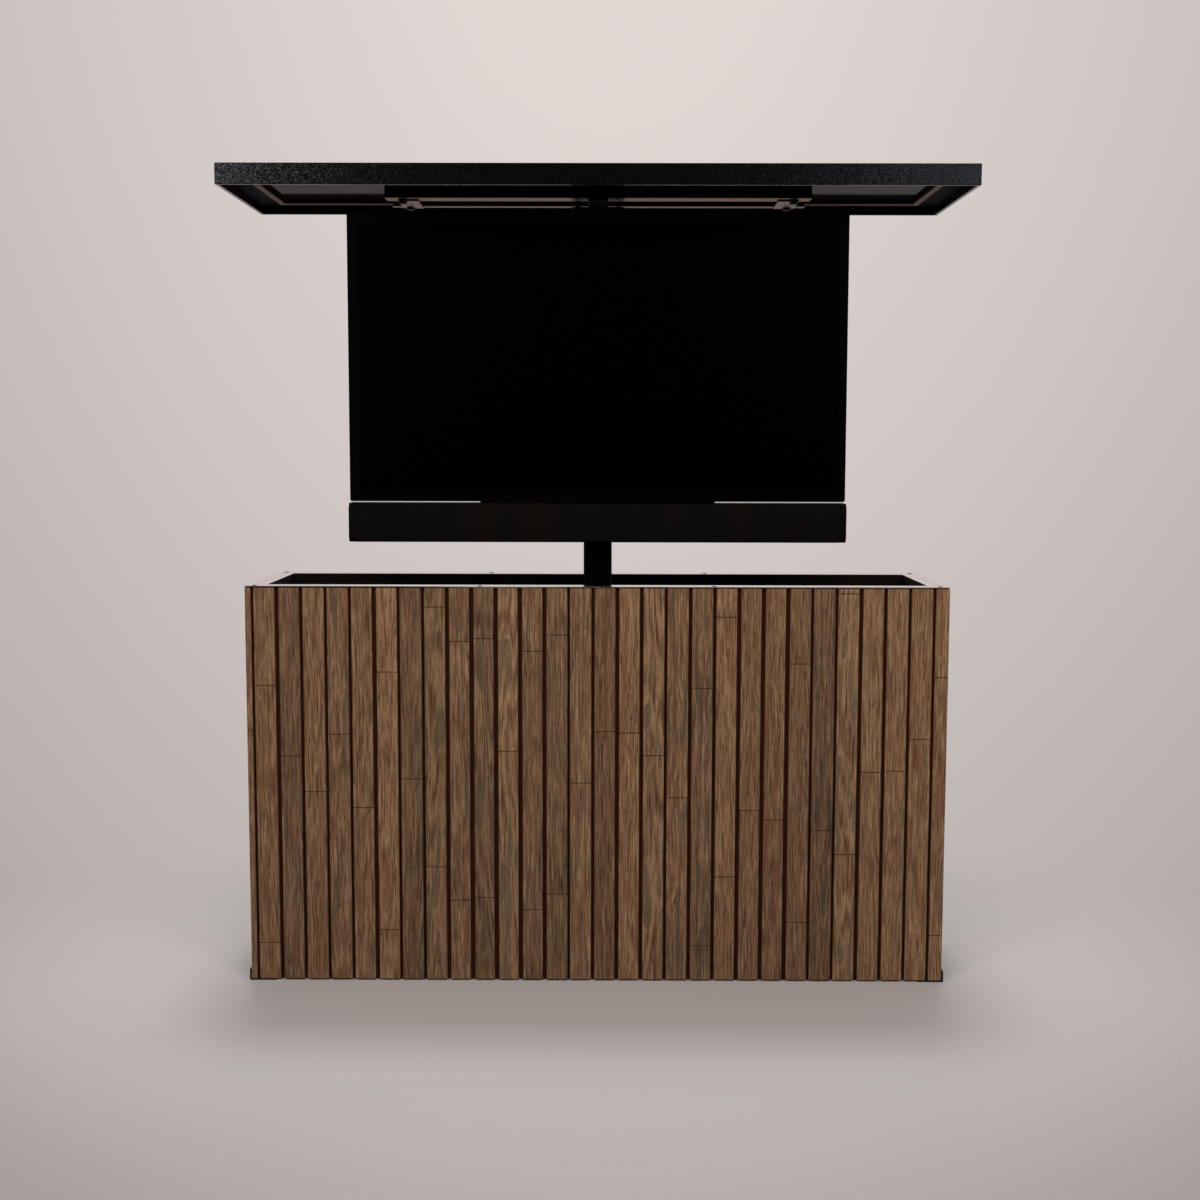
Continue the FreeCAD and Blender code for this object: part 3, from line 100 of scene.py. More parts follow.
# %% Helpers for colour and nodes
def linear(text):
    """The linear RGBA colour of an sRGB hex value."""
    parts = [int(text[at:at + 2], 16) / 255 for at in (1, 3, 5)]
    flat = [c / 12.92 if c <= 0.04045 else ((c + 0.055) / 1.055) ** 2.4 for c in parts]
    return (*flat, 1.0)


def add(tree, kind, inputs=None, stops=None, **settings):
    """Add a node with its settings, its inputs set or linked, and a ramp's stops."""
    made = tree.nodes.new(kind)
    for name, value in settings.items():
        setattr(made, name, value)
    for name, value in (inputs or {}).items():
        if isinstance(value, bpy.types.NodeSocket):
            tree.links.new(value, made.inputs[name])
        else:
            made.inputs[name].default_value = value
    if stops:
        ramp = made.color_ramp.elements
        while len(ramp) < len(stops):
            ramp.new(0.5)
        for element, (place, text) in zip(ramp, stops):
            element.position = place
            element.color = linear(text)
    return made


def start_material(name):
    """A new material and its node tree with nothing in it."""
    material = bpy.data.materials.new(name)
    material.use_nodes = True
    material.node_tree.nodes.clear()
    return material, material.node_tree


def end_material(tree, shader):
    """Link a shader to the material's output."""
    add(tree, "ShaderNodeOutputMaterial", {"Surface": shader.outputs[0]})


print("linear mid grey:", [round(c, 3) for c in linear("#808080")])

# %% [markdown]
# ## The studio
# The backdrop is a lit paper sweep. It is palest at one spot, high and straight ahead, and
# falls off evenly from there, so one ramp on the distance from that direction draws it.
# Cameras, mirrors and glass see it. Behind the camera the room is dark, and black faces that
# look that way stay black. Diffuse light comes from a plain dome.

# %% World
PALE_SPOT = (0.0, 0.9445, 0.3286)
SPOT_STRETCH = (1.0, 1.0, 0.687)
SWEEP = [
    (0.10, "#E0D7D3"), (0.30, "#D0C7C4"), (0.475, "#BCB4B1"), (0.625, "#A49C99"), (1.0, "#CFC6C2"),
]
ROOM_DARK = "#050505"
ROOM_FROM, ROOM_TO = 0.15, -0.35
DOME_LIGHT = 0.3
DOME_COLOUR = "#FFFAF8"

world = bpy.data.worlds.new("studio")
world.use_nodes = True
bpy.context.scene.world = world
tree = world.node_tree
tree.nodes.clear()
place = add(tree, "ShaderNodeTexCoord")
from_spot = add(tree, "ShaderNodeVectorMath", {
    0: place.outputs["Generated"], 1: PALE_SPOT,
}, operation="SUBTRACT")
stretched = add(tree, "ShaderNodeVectorMath", {
    0: from_spot.outputs[0], 1: SPOT_STRETCH,
}, operation="MULTIPLY")
reach = add(tree, "ShaderNodeVectorMath", {0: stretched.outputs[0]}, operation="LENGTH")
sky = add(tree, "ShaderNodeValToRGB", {0: reach.outputs["Value"]}, stops=SWEEP)
axes = add(tree, "ShaderNodeSeparateXYZ", {0: place.outputs["Generated"]})
front = add(tree, "ShaderNodeMapRange", {
    "Value": axes.outputs["Y"], "From Min": ROOM_TO, "From Max": ROOM_FROM,
}, interpolation_type="SMOOTHSTEP")
room = add(tree, "ShaderNodeMix", {
    0: front.outputs[0], 6: linear(ROOM_DARK), 7: sky.outputs[0],
}, data_type="RGBA")
path = add(tree, "ShaderNodeLightPath")
mirrored = add(tree, "ShaderNodeMix", {
    0: path.outputs["Is Camera Ray"], 6: room.outputs[2], 7: sky.outputs[0],
}, data_type="RGBA")
clear = add(tree, "ShaderNodeMath", {
    0: path.outputs["Is Camera Ray"], 1: path.outputs["Is Glossy Ray"],
}, operation="MAXIMUM")
seen = add(tree, "ShaderNodeMath", {
    0: clear.outputs[0], 1: path.outputs["Is Transmission Ray"],
}, operation="MAXIMUM")
dome = add(tree, "ShaderNodeBackground", {"Color": linear(DOME_COLOUR), "Strength": DOME_LIGHT})
backdrop = add(tree, "ShaderNodeBackground", {"Color": mirrored.outputs[2], "Strength": 1.0})
both = add(tree, "ShaderNodeMixShader", {
    0: seen.outputs[0], 1: dome.outputs[0], 2: backdrop.outputs[0],
})
add(tree, "ShaderNodeOutputWorld", {"Surface": both.outputs[0]})
print("world:", world.name, "dome", DOME_LIGHT)

# %% [markdown]
# ## The floor
# Only the floor near the object is a real surface, because it has to take the object's
# shadow. Further out it fades into the world, which carries the sweep on all round.

# %% Floor
FLOOR_REACH = 6.0
FLOOR_SOLID = 0.7
FLOOR_GONE = 1.5
FLOOR_OVAL = (0.8, 1.0, 1.0)
FLOOR_PAPER = "#B4B2B4"
FLOOR_CORNERS = 64

mesh = bpy.data.meshes.new("floor")
angles = [step * math.tau / FLOOR_CORNERS for step in range(FLOOR_CORNERS)]
rim = [(FLOOR_REACH * math.cos(angle), FLOOR_REACH * math.sin(angle), 0.0) for angle in angles]
mesh.from_pydata(rim, [], [list(range(FLOOR_CORNERS))])
floor = put("floor", mesh)

paper, tree = start_material("studio_paper")
place = add(tree, "ShaderNodeTexCoord")
oval = add(tree, "ShaderNodeMapping", {"Vector": place.outputs["Object"], "Scale": FLOOR_OVAL})
reach = add(tree, "ShaderNodeVectorMath", {0: oval.outputs[0]}, operation="LENGTH")
fade = add(tree, "ShaderNodeMapRange", {
    "Value": reach.outputs["Value"], "From Min": FLOOR_SOLID, "From Max": FLOOR_GONE,
}, interpolation_type="SMOOTHSTEP")
matt = add(tree, "ShaderNodeBsdfDiffuse", {"Color": linear(FLOOR_PAPER)})
gone = add(tree, "ShaderNodeBsdfTransparent")
end_material(tree, add(tree, "ShaderNodeMixShader", {
    0: fade.outputs[0], 1: matt.outputs[0], 2: gone.outputs[0],
}))
mesh.materials.append(paper)
print("floor:", FLOOR_REACH, "m, fades from", FLOOR_SOLID, "to", FLOOR_GONE)

# %% [markdown]
# ## The lamps
# A wide soft lamp hangs over the front and gives the slats an even light that falls off
# towards the floor, and another lights the back. Both are kept out of mirrors, so that the
# smooth black faces stay black. Two soft lamps stand to the left and right, where the lid's
# grainy edge catches them only near its ends. A sun lamp far above, a little behind, is the
# same all over the floor and lays the lid's soft shadow in front of the cabinet. It is kept
# out of mirrors too.

# %% Lamps
def lamp(name, kind, at, aim, power, colour, in_mirrors):
    """A lamp of some kind at a place, turned to what it lights."""
    light = bpy.data.lights.new(name, kind)
    light.energy = power
    light.color = linear(colour)[:3]
    made = put(name, light)
    towards = Vector(aim) - Vector(at)
    made.matrix_world = Matrix.Translation(at) @ towards.to_track_quat("-Z", "Y").to_matrix().to_4x4()
    made.visible_camera = False
    made.visible_glossy = in_mirrors
    print("lamp:", name, power)
    return light


# each with its place, aim, size, watts, colour and whether mirrors show it
SOFT_LAMPS = [
    ("key_lamp", (0.0, -2.4, 3.0), (0.0, 0.0, 2.3), (4.0, 1.2), 104.0, "#FFF2E4", False),
    ("left_lamp", (-2.2, -3.6, 2.4), (-0.5, 0.0, 1.0), (0.5, 1.4), 15.0, "#F0F3FB", True),
    ("right_lamp", (2.3, -3.6, 2.4), (0.5, 0.0, 1.0), (2.0, 1.4), 10.5, "#E6EBFB", True),
    ("back_lamp", (0.0, 3.0, 2.4), (0.0, 0.0, 0.8), (3.0, 1.2), 55.0, "#FFF2E4", False),
]
OVERHEAD_PLACE = (0.0, 1.97, 10.0)
OVERHEAD_SPREAD = math.radians(9.5)

for name, at, aim, size, watts, colour, in_mirrors in SOFT_LAMPS:
    light = lamp(name, "AREA", at, aim, watts, colour, in_mirrors)
    light.shape = "RECTANGLE"
    light.size, light.size_y = size

overhead = lamp("overhead_light", "SUN", OVERHEAD_PLACE, (0.0, 0.0, 0.0), 1.0, "#FFFFFF", False)
overhead.angle = OVERHEAD_SPREAD

# %% [markdown]
# ## Where a node's solids lie
# Several nodes hold many separate solids, such as the slats' boards or a row of screws. A
# walk along the mesh's edges from corner to corner finds the place of each, so that patterns
# and pieces fit them.

# %% Places of a node's solids
WELD_REACH = 0.00002


def solids_of(name):
    """The low and high corners of each separate solid in a node."""
    shape = bmesh.new()
    shape.from_mesh(nodes[name].data)
    bmesh.ops.remove_doubles(shape, verts=shape.verts, dist=WELD_REACH)
    left = set(shape.verts)
    boxes = []
    while left:
        group = [left.pop()]
        for vertex in group:
            for edge in vertex.link_edges:
                other = edge.other_vert(vertex)
                if other in left:
                    left.discard(other)
                    group.append(other)
        corners = [[pick(v.co[axis] for v in group) for axis in range(3)] for pick in (min, max)]
        boxes.append([Vector(corner) for corner in corners])
    shape.free()
    return sorted(boxes, key=lambda box: tuple(box[0]))


print("rim screws:", len(solids_of("rim_screws")))

# %% [markdown]
# ## Oiled walnut: one slat and the next
# The slats are narrow walnut boards, oiled and a little weathered. The boards of one slat
# were cut one after the other from one length, so the figure runs on across their joints,
# and every slat comes from its own place in the timber and has its own tone. So the material
# counts the slats along their wall, and rolls dice for each: three numbers of its own, and a
# jump to another part of the pattern.

# %% A slat's own numbers
SLAT_PITCH_MM = 54.5
JUMP_MM = (7310.0, 1930.0, 5170.0)


def slat_dice(tree, axis, groove):
    """A slat's own three numbers, and the place in its timber, in millimetres."""
    place = add(tree, "ShaderNodeTexCoord")
    scaled = add(tree, "ShaderNodeVectorMath", {
        0: place.outputs["Object"], 3: 1 / MM,
    }, operation="SCALE")
    axes = add(tree, "ShaderNodeSeparateXYZ", {0: scaled.outputs[0]})
    past = add(tree, "ShaderNodeMath", {0: axes.outputs[axis], 1: groove}, operation="SUBTRACT")
    pitches = add(tree, "ShaderNodeMath", {0: past.outputs[0], 1: SLAT_PITCH_MM}, operation="DIVIDE")
    count = add(tree, "ShaderNodeMath", {0: pitches.outputs[0]}, operation="FLOOR")
    # the groove's place is in the seed, so that only the left and right walls share dice
    seed = add(tree, "ShaderNodeMath", {0: count.outputs[0], 1: groove}, operation="ADD")
    dice = add(tree, "ShaderNodeTexWhiteNoise", {"W": seed.outputs[0]}, noise_dimensions="1D")
    own = add(tree, "ShaderNodeSeparateColor", {0: dice.outputs["Color"]})
    jump = add(tree, "ShaderNodeVectorMath", {0: JUMP_MM, 3: dice.outputs["Value"]}, operation="SCALE")
    moved = add(tree, "ShaderNodeVectorMath", {
        0: scaled.outputs[0], 1: jump.outputs[0],
    }, operation="ADD")
    return own, moved


def first_groove(name, axis):
    """Where the first groove between a wall's slats lies, in millimetres."""
    spans = sorted({(round(low[axis], 4), round(high[axis], 4)) for low, high in solids_of(name)})
    return (spans[0][1] + spans[1][0]) / 2 / MM


print("first groove of the front:", round(first_groove("front_slats", 0), 1))

# %% [markdown]
# ## Oiled walnut: the grain
# Grain is noise that is drawn out along the slat. Fibres are fine streaks, with longer ones
# among them, and all follow the same slow bends. Growth rings are the contour lines of a
# slow field, which gives arches on some slats and long lines on others. How strongly a
# pattern is drawn out is one small number: 0.038 makes a fibre 2.1 mm wide 55 mm long.

# %% Fibres and rings
FIBRE_MM = 2.1
BEND_MM = 34.0
WANDER_MM = 3.0
RING_FIELD_MM = 40.0
RINGS_PER_FIELD = 9.0
LONG_SHARE = 0.36


def drawn_out(tree, source, share):
    """The place in the timber, squeezed along the slat, which lengthens a pattern there."""
    squeeze = (1.0, 1.0, share)
    return add(tree, "ShaderNodeVectorMath", {0: source.outputs[0], 1: squeeze}, operation="MULTIPLY")


def bend(tree, moved):
    """The place in the timber, pushed sideways by a few millimetres over a hand's length."""
    slow = drawn_out(tree, moved, 0.22)
    bends = add(tree, "ShaderNodeTexNoise", {
        "Vector": slow.outputs[0], "Scale": 1 / BEND_MM, "Detail": 1.0,
    })
    lean = add(tree, "ShaderNodeMapRange", {
        "Value": bends.outputs["Fac"], "From Min": 0.25, "From Max": 0.75, "To Min": -WANDER_MM,
        "To Max": WANDER_MM,
    })
    sideways = add(tree, "ShaderNodeCombineXYZ", {0: lean.outputs[0], 1: lean.outputs[0]})
    return add(tree, "ShaderNodeVectorMath", {
        0: moved.outputs[0], 1: sideways.outputs[0],
    }, operation="ADD")


def walnut_fibres(tree, bent):
    """Fibres 2 mm wide and 50 mm long, and among them streaks as long as a hand."""
    along = drawn_out(tree, bent, 0.038)
    longer = drawn_out(tree, bent, 0.013)
    fibre = add(tree, "ShaderNodeTexNoise", {
        "Vector": along.outputs[0], "Scale": 1 / FIBRE_MM, "Detail": 1.0, "Roughness": 0.5,
    })
    coarse = add(tree, "ShaderNodeTexNoise", {
        "Vector": longer.outputs[0], "Scale": 0.85 / FIBRE_MM, "Detail": 1.0, "Roughness": 0.5,
    })
    return add(tree, "ShaderNodeMix", {
        0: LONG_SHARE, 2: fibre.outputs["Fac"], 3: coarse.outputs["Fac"],
    }, data_type="FLOAT")


def walnut_rings(tree, wide):
    """Growth rings, as the contour lines of a slow field."""
    field = add(tree, "ShaderNodeTexNoise", {
        "Vector": wide.outputs[0], "Scale": 1 / RING_FIELD_MM, "Detail": 1.0, "Roughness": 0.4,
    })
    turns = add(tree, "ShaderNodeMath", {
        0: field.outputs["Fac"], 1: RINGS_PER_FIELD * math.tau,
    }, operation="MULTIPLY")
    wave = add(tree, "ShaderNodeMath", {0: turns.outputs[0]}, operation="SINE")
    return add(tree, "ShaderNodeMapRange", {
        "Value": wave.outputs[0], "From Min": -1.0, "From Max": 1.0,
    })


print("fibres:", FIBRE_MM, "mm, ring field:", RING_FIELD_MM, "mm")

# %% [markdown]
# ## Oiled walnut: the colours
# The fibres and rings together make the tone, from dark to pale brown. Reddish drifts as
# long as a hand lie over it, and grey green streaks in bundles, strong on a few slats and
# faint on the others.

# %% Drifts and streaks
DRIFT_MM = 13.0
BUNDLE_MM = 5.5
DRIFT_RED, GREY_GREEN = "#6A4530", "#4A4236"


def lay_over(tree, under, colour, first, second):
    """A colour over another, as strongly as two numbers multiplied."""
    amount = add(tree, "ShaderNodeMath", {
        0: first.outputs[0], 1: second.outputs[0],
    }, operation="MULTIPLY")
    return add(tree, "ShaderNodeMix", {
        0: amount.outputs[0], 6: under, 7: linear(colour),
    }, data_type="RGBA").outputs[2]


def add_drifts(tree, own, under, wide):
    """Reddish drifts, stronger where the slat's second number is low."""
    drift = add(tree, "ShaderNodeTexNoise", {
        "Vector": wide.outputs[0], "Scale": 1 / DRIFT_MM, "Detail": 3.0, "Roughness": 0.6,
    })
    redness = add(tree, "ShaderNodeMapRange", {
        "Value": drift.outputs["Fac"], "From Min": 0.47, "From Max": 0.68, "To Max": 0.6,
    })
    blush = add(tree, "ShaderNodeMapRange", {"Value": own.outputs[1], "To Min": 1.5, "To Max": 0.25})
    return lay_over(tree, under, DRIFT_RED, redness, blush)


def add_streaks(tree, own, under, narrow):
    """Bundles of grey green streaks, strong where the slat's first number is high."""
    bundle = add(tree, "ShaderNodeTexNoise", {
        "Vector": narrow.outputs[0], "Scale": 1 / BUNDLE_MM, "Detail": 3.0, "Roughness": 0.68,
    })
    streak = add(tree, "ShaderNodeMapRange", {
        "Value": bundle.outputs["Fac"], "From Min": 0.49, "From Max": 0.60,
    })
    strength = add(tree, "ShaderNodeMapRange", {
        "Value": own.outputs[0], "From Min": 0.66, "From Max": 0.9, "To Min": 0.1, "To Max": 0.85,
    })
    return lay_over(tree, under, GREY_GREEN, streak, strength)


print("drifts:", DRIFT_MM, "mm")

# %% [markdown]
# ## Oiled walnut: figure and shade
# On some slats the saw cut an arch: a dark lens of heartwood in a pale outline. Open pores,
# cut lengthwise, are short dark dashes.

# %% Arches and shade
ARCH_MM = 21.0
PORE_MM = 1.9
HEARTWOOD, PALE_OUTLINE = "#4F4435", "#8F7558"


def add_arches(tree, own, under, tall):
    """Heartwood arches, on the slats whose second number is high."""
    heart = add(tree, "ShaderNodeTexNoise", {
        "Vector": tall.outputs[0], "Scale": 1 / ARCH_MM, "Detail": 1.0,
    })
    figured = add(tree, "ShaderNodeMapRange", {
        "Value": own.outputs[1], "From Min": 0.72, "From Max": 0.78,
    })
    ridge = add(tree, "ShaderNodeMapRange", {
        "Value": heart.outputs["Fac"], "From Min": 0.51, "From Max": 0.57, "To Max": 0.5,
    })
    lens = add(tree, "ShaderNodeMapRange", {
        "Value": heart.outputs["Fac"], "From Min": 0.565, "From Max": 0.61, "To Max": 0.62,
    })
    outlined = lay_over(tree, under, PALE_OUTLINE, ridge, figured)
    return lay_over(tree, outlined, HEARTWOOD, lens, figured)


def walnut_shade(tree, own, thin):
    """How dark a place is: by its slat, very little by its board, and by its pores."""
    shade = add(tree, "ShaderNodeMapRange", {"Value": own.outputs[2], "To Min": 0.76, "To Max": 1.14})
    board = add(tree, "ShaderNodeNewGeometry")
    piece = add(tree, "ShaderNodeMapRange", {
        "Value": board.outputs["Random Per Island"], "To Min": 0.94, "To Max": 1.06,
    })
    pits = add(tree, "ShaderNodeTexNoise", {
        "Vector": thin.outputs[0], "Scale": 1 / PORE_MM, "Detail": 1.0,
    })
    pores = add(tree, "ShaderNodeMapRange", {
        "Value": pits.outputs["Fac"], "From Min": 0.56, "From Max": 0.68, "To Min": 1.0, "To Max": 0.62,
    })
    both = add(tree, "ShaderNodeMath", {0: shade.outputs[0], 1: piece.outputs[0]}, operation="MULTIPLY")
    return add(tree, "ShaderNodeMath", {0: both.outputs[0], 1: pores.outputs[0]}, operation="MULTIPLY")


print("arches:", ARCH_MM, "mm")

# %% Oiled walnut
BROWNS = [(0.34, "#4C3524"), (0.43, "#684D37"), (0.51, "#7A5F45"), (0.63, "#927558")]
# the axis along which each wall's slats stand side by side: 0 is X and 1 is Y
WALLS = {"front_slats": 0, "left_slats": 1, "right_slats": 1, "back_slats": 0, "access_slats": 0}


def make_walnut(name, axis):
    """Streaked brown timber for one wall's slats, which differ in figure and tone."""
    material, tree = start_material("oiled_walnut_" + name)
    own, moved = slat_dice(tree, axis, first_groove(name, axis))
    wide = drawn_out(tree, moved, 0.085)
    bent = bend(tree, moved)
    threads = walnut_fibres(tree, bent)
    rings = walnut_rings(tree, wide)
    ring_share = add(tree, "ShaderNodeMapRange", {
        "Value": own.outputs[1], "From Min": 0.5, "To Min": 0.02, "To Max": 0.2,
    })
    tone = add(tree, "ShaderNodeMix", {
        0: ring_share.outputs[0], 2: threads.outputs[0], 3: rings.outputs[0],
    }, data_type="FLOAT")
    brown = add(tree, "ShaderNodeValToRGB", {0: tone.outputs[0]}, stops=BROWNS)
    reddened = add_drifts(tree, own, brown.outputs[0], wide)
    weathered = add_streaks(tree, own, reddened, drawn_out(tree, bent, 0.035))
    arched = add_arches(tree, own, weathered, drawn_out(tree, bent, 0.15))
    dark = walnut_shade(tree, own, drawn_out(tree, bent, 0.11))
    toned = add(tree, "ShaderNodeVectorMath", {0: arched, 3: dark.outputs[0]}, operation="SCALE")
    gloss = add(tree, "ShaderNodeMapRange", {
        "Value": threads.outputs[0], "To Min": 0.8, "To Max": 0.55,
    })
    bump = add(tree, "ShaderNodeBump", {
        "Height": threads.outputs[0], "Strength": 0.35, "Distance": 0.5 * MM,
    })
    end_material(tree, add(tree, "ShaderNodeBsdfPrincipled", {
        "Base Color": toned.outputs[0], "Roughness": gloss.outputs[0], "Normal": bump.outputs[0],
        "Specular IOR Level": 0.25,
    }))
    return material


walnut = {name: make_walnut(name, axis) for name, axis in WALLS.items()}
print("made", [material.name for material in walnut.values()])

# %% [markdown]
# ## Stained plywood and softwood, with painted shade
# The boards behind the slats, and the battens inside, are plain timber under a thin water
# based stain. Outside it is a warm dark brown, the stain's colour darkened as painted shade
# in the grooves. Inside the boards are greyer, and the battens and the base are nearly black,
# as painted shade that makes the open cabinet look deep. The grain still shows. End grain of
# walnut is a plain dark brown.

# %% Stained timber
# a metre in millimetres across the grain, and squeezed along it to draw the grain out
GRAIN_SQUEEZE = (1000.0, 1000.0, 40.0)


def make_stained(name, outside, inside, grain_mm=7.0):
    """Timber under stain, of one colour where it faces out of the cabinet and another within. The
    colours given for the boards, battens and base are darkened with painted shade.
    """
    material, tree = start_material(name)
    place = add(tree, "ShaderNodeTexCoord")
    along = add(tree, "ShaderNodeVectorMath", {
        0: place.outputs["Object"], 1: GRAIN_SQUEEZE,
    }, operation="MULTIPLY")
    grain = add(tree, "ShaderNodeTexNoise", {
        "Vector": along.outputs[0], "Scale": 1 / grain_mm, "Detail": 5.0, "Roughness": 0.65,
    })
    # a face looks out of the cabinet where its normal points away from the cabinet's middle
    faces = add(tree, "ShaderNodeNewGeometry")
    outward = add(tree, "ShaderNodeVectorMath", {
        0: faces.outputs["Normal"], 1: place.outputs["Object"],
    }, operation="MULTIPLY")
    parts = add(tree, "ShaderNodeSeparateXYZ", {0: outward.outputs[0]})
    away = add(tree, "ShaderNodeMath", {0: parts.outputs["X"], 1: parts.outputs["Y"]}, operation="ADD")
    facing_out = add(tree, "ShaderNodeMath", {0: away.outputs[0], 1: 0.0}, operation="GREATER_THAN")
    stain_and_shade = add(tree, "ShaderNodeMix", {
        0: facing_out.outputs[0], 6: linear(inside), 7: linear(outside),
    }, data_type="RGBA")
    light = add(tree, "ShaderNodeMapRange", {
        "Value": grain.outputs["Fac"], "To Min": 0.6, "To Max": 1.5,
    })
    toned = add(tree, "ShaderNodeVectorMath", {
        0: stain_and_shade.outputs[2], 3: light.outputs[0],
    }, operation="SCALE")
    bump = add(tree, "ShaderNodeBump", {
        "Height": grain.outputs["Fac"], "Strength": 0.3, "Distance": 0.5 * MM,
    })
    end_material(tree, add(tree, "ShaderNodeBsdfPrincipled", {
        "Base Color": toned.outputs[0], "Roughness": 0.72, "Normal": bump.outputs[0],
        "Specular IOR Level": 0.1,
    }))
    return material


# the backing boards' outside is darkened as painted shade in the grooves, and the battens and base are
# nearly black as painted shade inside the cabinet
plywood_stain_and_groove_shade = make_stained("plywood_stain_and_groove_shade", "#31180D", "#3A2C22")
softwood_stain_and_shade = make_stained("softwood_stain_and_shade", "#14100D", "#14100D", grain_mm=5.0)
end_grain = make_stained("walnut_end_grain", "#443021", "#443021", grain_mm=2.0)
base_plywood_stain_and_shade = make_stained("black_plywood_stain_and_shade", "#100E0C", "#100E0C", grain_mm=9.0)
print("made", plywood_stain_and_groove_shade.name, softwood_stain_and_shade.name, end_grain.name, base_plywood_stain_and_shade.name)

# %% [markdown]
# ## Textured powder coat
# Powder is sprayed on metal and baked. The lid has a coarse textured grade, whose glassy
# grains each lie at their own small angle and glitter where a lamp is reflected. So every
# cell of a fine cell pattern tilts the surface by its own random amount. A bump would blur
# at this scale, and tilted cells keep their sparkle.

# %% Textured coat of the lid
LID_GRAIN_MM = 1.7
LID_TILT = 0.26
LID_BLACK = "#050505"


def make_textured_coat():
    """Black polymer grains, each with its own tilt, gloss and depth of colour."""
    material, tree = start_material("textured_black_powder_coat")
    place = add(tree, "ShaderNodeTexCoord")
    grains = add(tree, "ShaderNodeTexVoronoi", {
        "Vector": place.outputs["Object"], "Scale": 1000.0 / LID_GRAIN_MM, "Randomness": 1.0,
    }, feature="F1")
    centred = add(tree, "ShaderNodeVectorMath", {
        0: grains.outputs["Color"], 1: (0.5, 0.5, 0.5),
    }, operation="SUBTRACT")
    # most grains lie nearly flat and a few stand steeply, so a cubed number scales the tilt
    spread = add(tree, "ShaderNodeTexWhiteNoise", {"Vector": grains.outputs["Position"]})
    steep = add(tree, "ShaderNodeMath", {0: spread.outputs["Value"], 1: 3.0}, operation="POWER")
    amount = add(tree, "ShaderNodeMapRange", {
        "Value": steep.outputs[0], "To Min": LID_TILT * 0.4, "To Max": LID_TILT,
    })
    tilt = add(tree, "ShaderNodeVectorMath", {
        0: centred.outputs[0], 3: amount.outputs[0],
    }, operation="SCALE")
    faces = add(tree, "ShaderNodeNewGeometry")
    leaning = add(tree, "ShaderNodeVectorMath", {
        0: faces.outputs["Normal"], 1: tilt.outputs[0],
    }, operation="ADD")
    normal = add(tree, "ShaderNodeVectorMath", {0: leaning.outputs[0]}, operation="NORMALIZE")
    cell = add(tree, "ShaderNodeSeparateColor", {0: grains.outputs["Color"]})
    rough = add(tree, "ShaderNodeMapRange", {"Value": cell.outputs[1], "To Min": 0.14, "To Max": 0.3})
    tone = add(tree, "ShaderNodeMapRange", {"Value": cell.outputs[2], "To Min": 0.5, "To Max": 1.5})
    toned = add(tree, "ShaderNodeVectorMath", {
        0: linear(LID_BLACK)[:3], 3: tone.outputs[0],
    }, operation="SCALE")
    end_material(tree, add(tree, "ShaderNodeBsdfPrincipled", {
        "Base Color": toned.outputs[0], "Roughness": rough.outputs[0], "Normal": normal.outputs[0],
        "Specular IOR Level": 0.5,
    }))
    return material


lid_coat = make_textured_coat()
print("made", lid_coat.name)

# %% [markdown]
# ## Satin coats
# The column, brackets and shoes have a fine satin grade of the same coat, which is almost
# smooth, and the lid's core board has a dull black coating. From straight ahead they are
# black, and the brackets and shoes shine a little at a low angle.

# %% Satin coats
# patches of haze to a metre
HAZE_SCALE = 9.0


def make_satin_coat(name, colour, grit_mm, depth_mm, roughness, gloss):
    """A baked coat with fine grains standing a little proud."""
    material, tree = start_material(name)
    place = add(tree, "ShaderNodeTexCoord")
    grains = add(tree, "ShaderNodeTexVoronoi", {
        "Vector": place.outputs["Object"], "Scale": 1000.0 / grit_mm, "Randomness": 1.0,
    }, feature="F1")
    haze = add(tree, "ShaderNodeTexNoise", {
        "Vector": place.outputs["Object"], "Scale": HAZE_SCALE, "Detail": 4.0,
    })
    cell = add(tree, "ShaderNodeSeparateColor", {0: grains.outputs["Color"]})
    bump = add(tree, "ShaderNodeBump", {
        "Height": grains.outputs["Distance"], "Strength": 0.6, "Distance": depth_mm * MM,
    })
    tone = add(tree, "ShaderNodeMapRange", {
        "Value": haze.outputs["Fac"], "To Min": 0.75, "To Max": 1.3,
    })
    toned = add(tree, "ShaderNodeVectorMath", {
        0: linear(colour)[:3], 3: tone.outputs[0],
    }, operation="SCALE")
    rough = add(tree, "ShaderNodeMapRange", {
        "Value": cell.outputs[1], "To Min": roughness - 0.06, "To Max": roughness + 0.08,
    })
    end_material(tree, add(tree, "ShaderNodeBsdfPrincipled", {
        "Base Color": toned.outputs[0], "Roughness": rough.outputs[0], "Normal": bump.outputs[0],
        "Specular IOR Level": gloss,
    }))
    return material


column_coat = make_satin_coat("satin_black_powder_coat", "#040404", 1.4, 0.04, 0.5, 0.12)
core_coat = make_satin_coat("black_board_coating", "#0B0908", 2.4, 0.06, 0.6, 0.01)
hanger_coat = make_satin_coat("bracket_powder_coat", "#0B0B0B", 1.8, 0.04, 0.42, 0.3)
shoe_coat = make_satin_coat("shoe_enamel", "#0E0E0F", 2.0, 0.05, 0.4, 0.4)
print("made", column_coat.name, hanger_coat.name, core_coat.name, shoe_coat.name)

# %% [markdown]
# ## Metals
# The rim is aluminium with a fine satin anodise, drawn along its length. Bolts and end
# plates are steel under bright zinc, whose crystals give soft cloudy patches, and the tie
# between the rails is hot dip galvanised. The rails are phosphated: nearly black from straight
# ahead, and a warm grey at a grazing angle, where they mirror the pale backdrop. The gearbox
# is die cast alloy, the screw is ground steel and its nut is turned from brass.

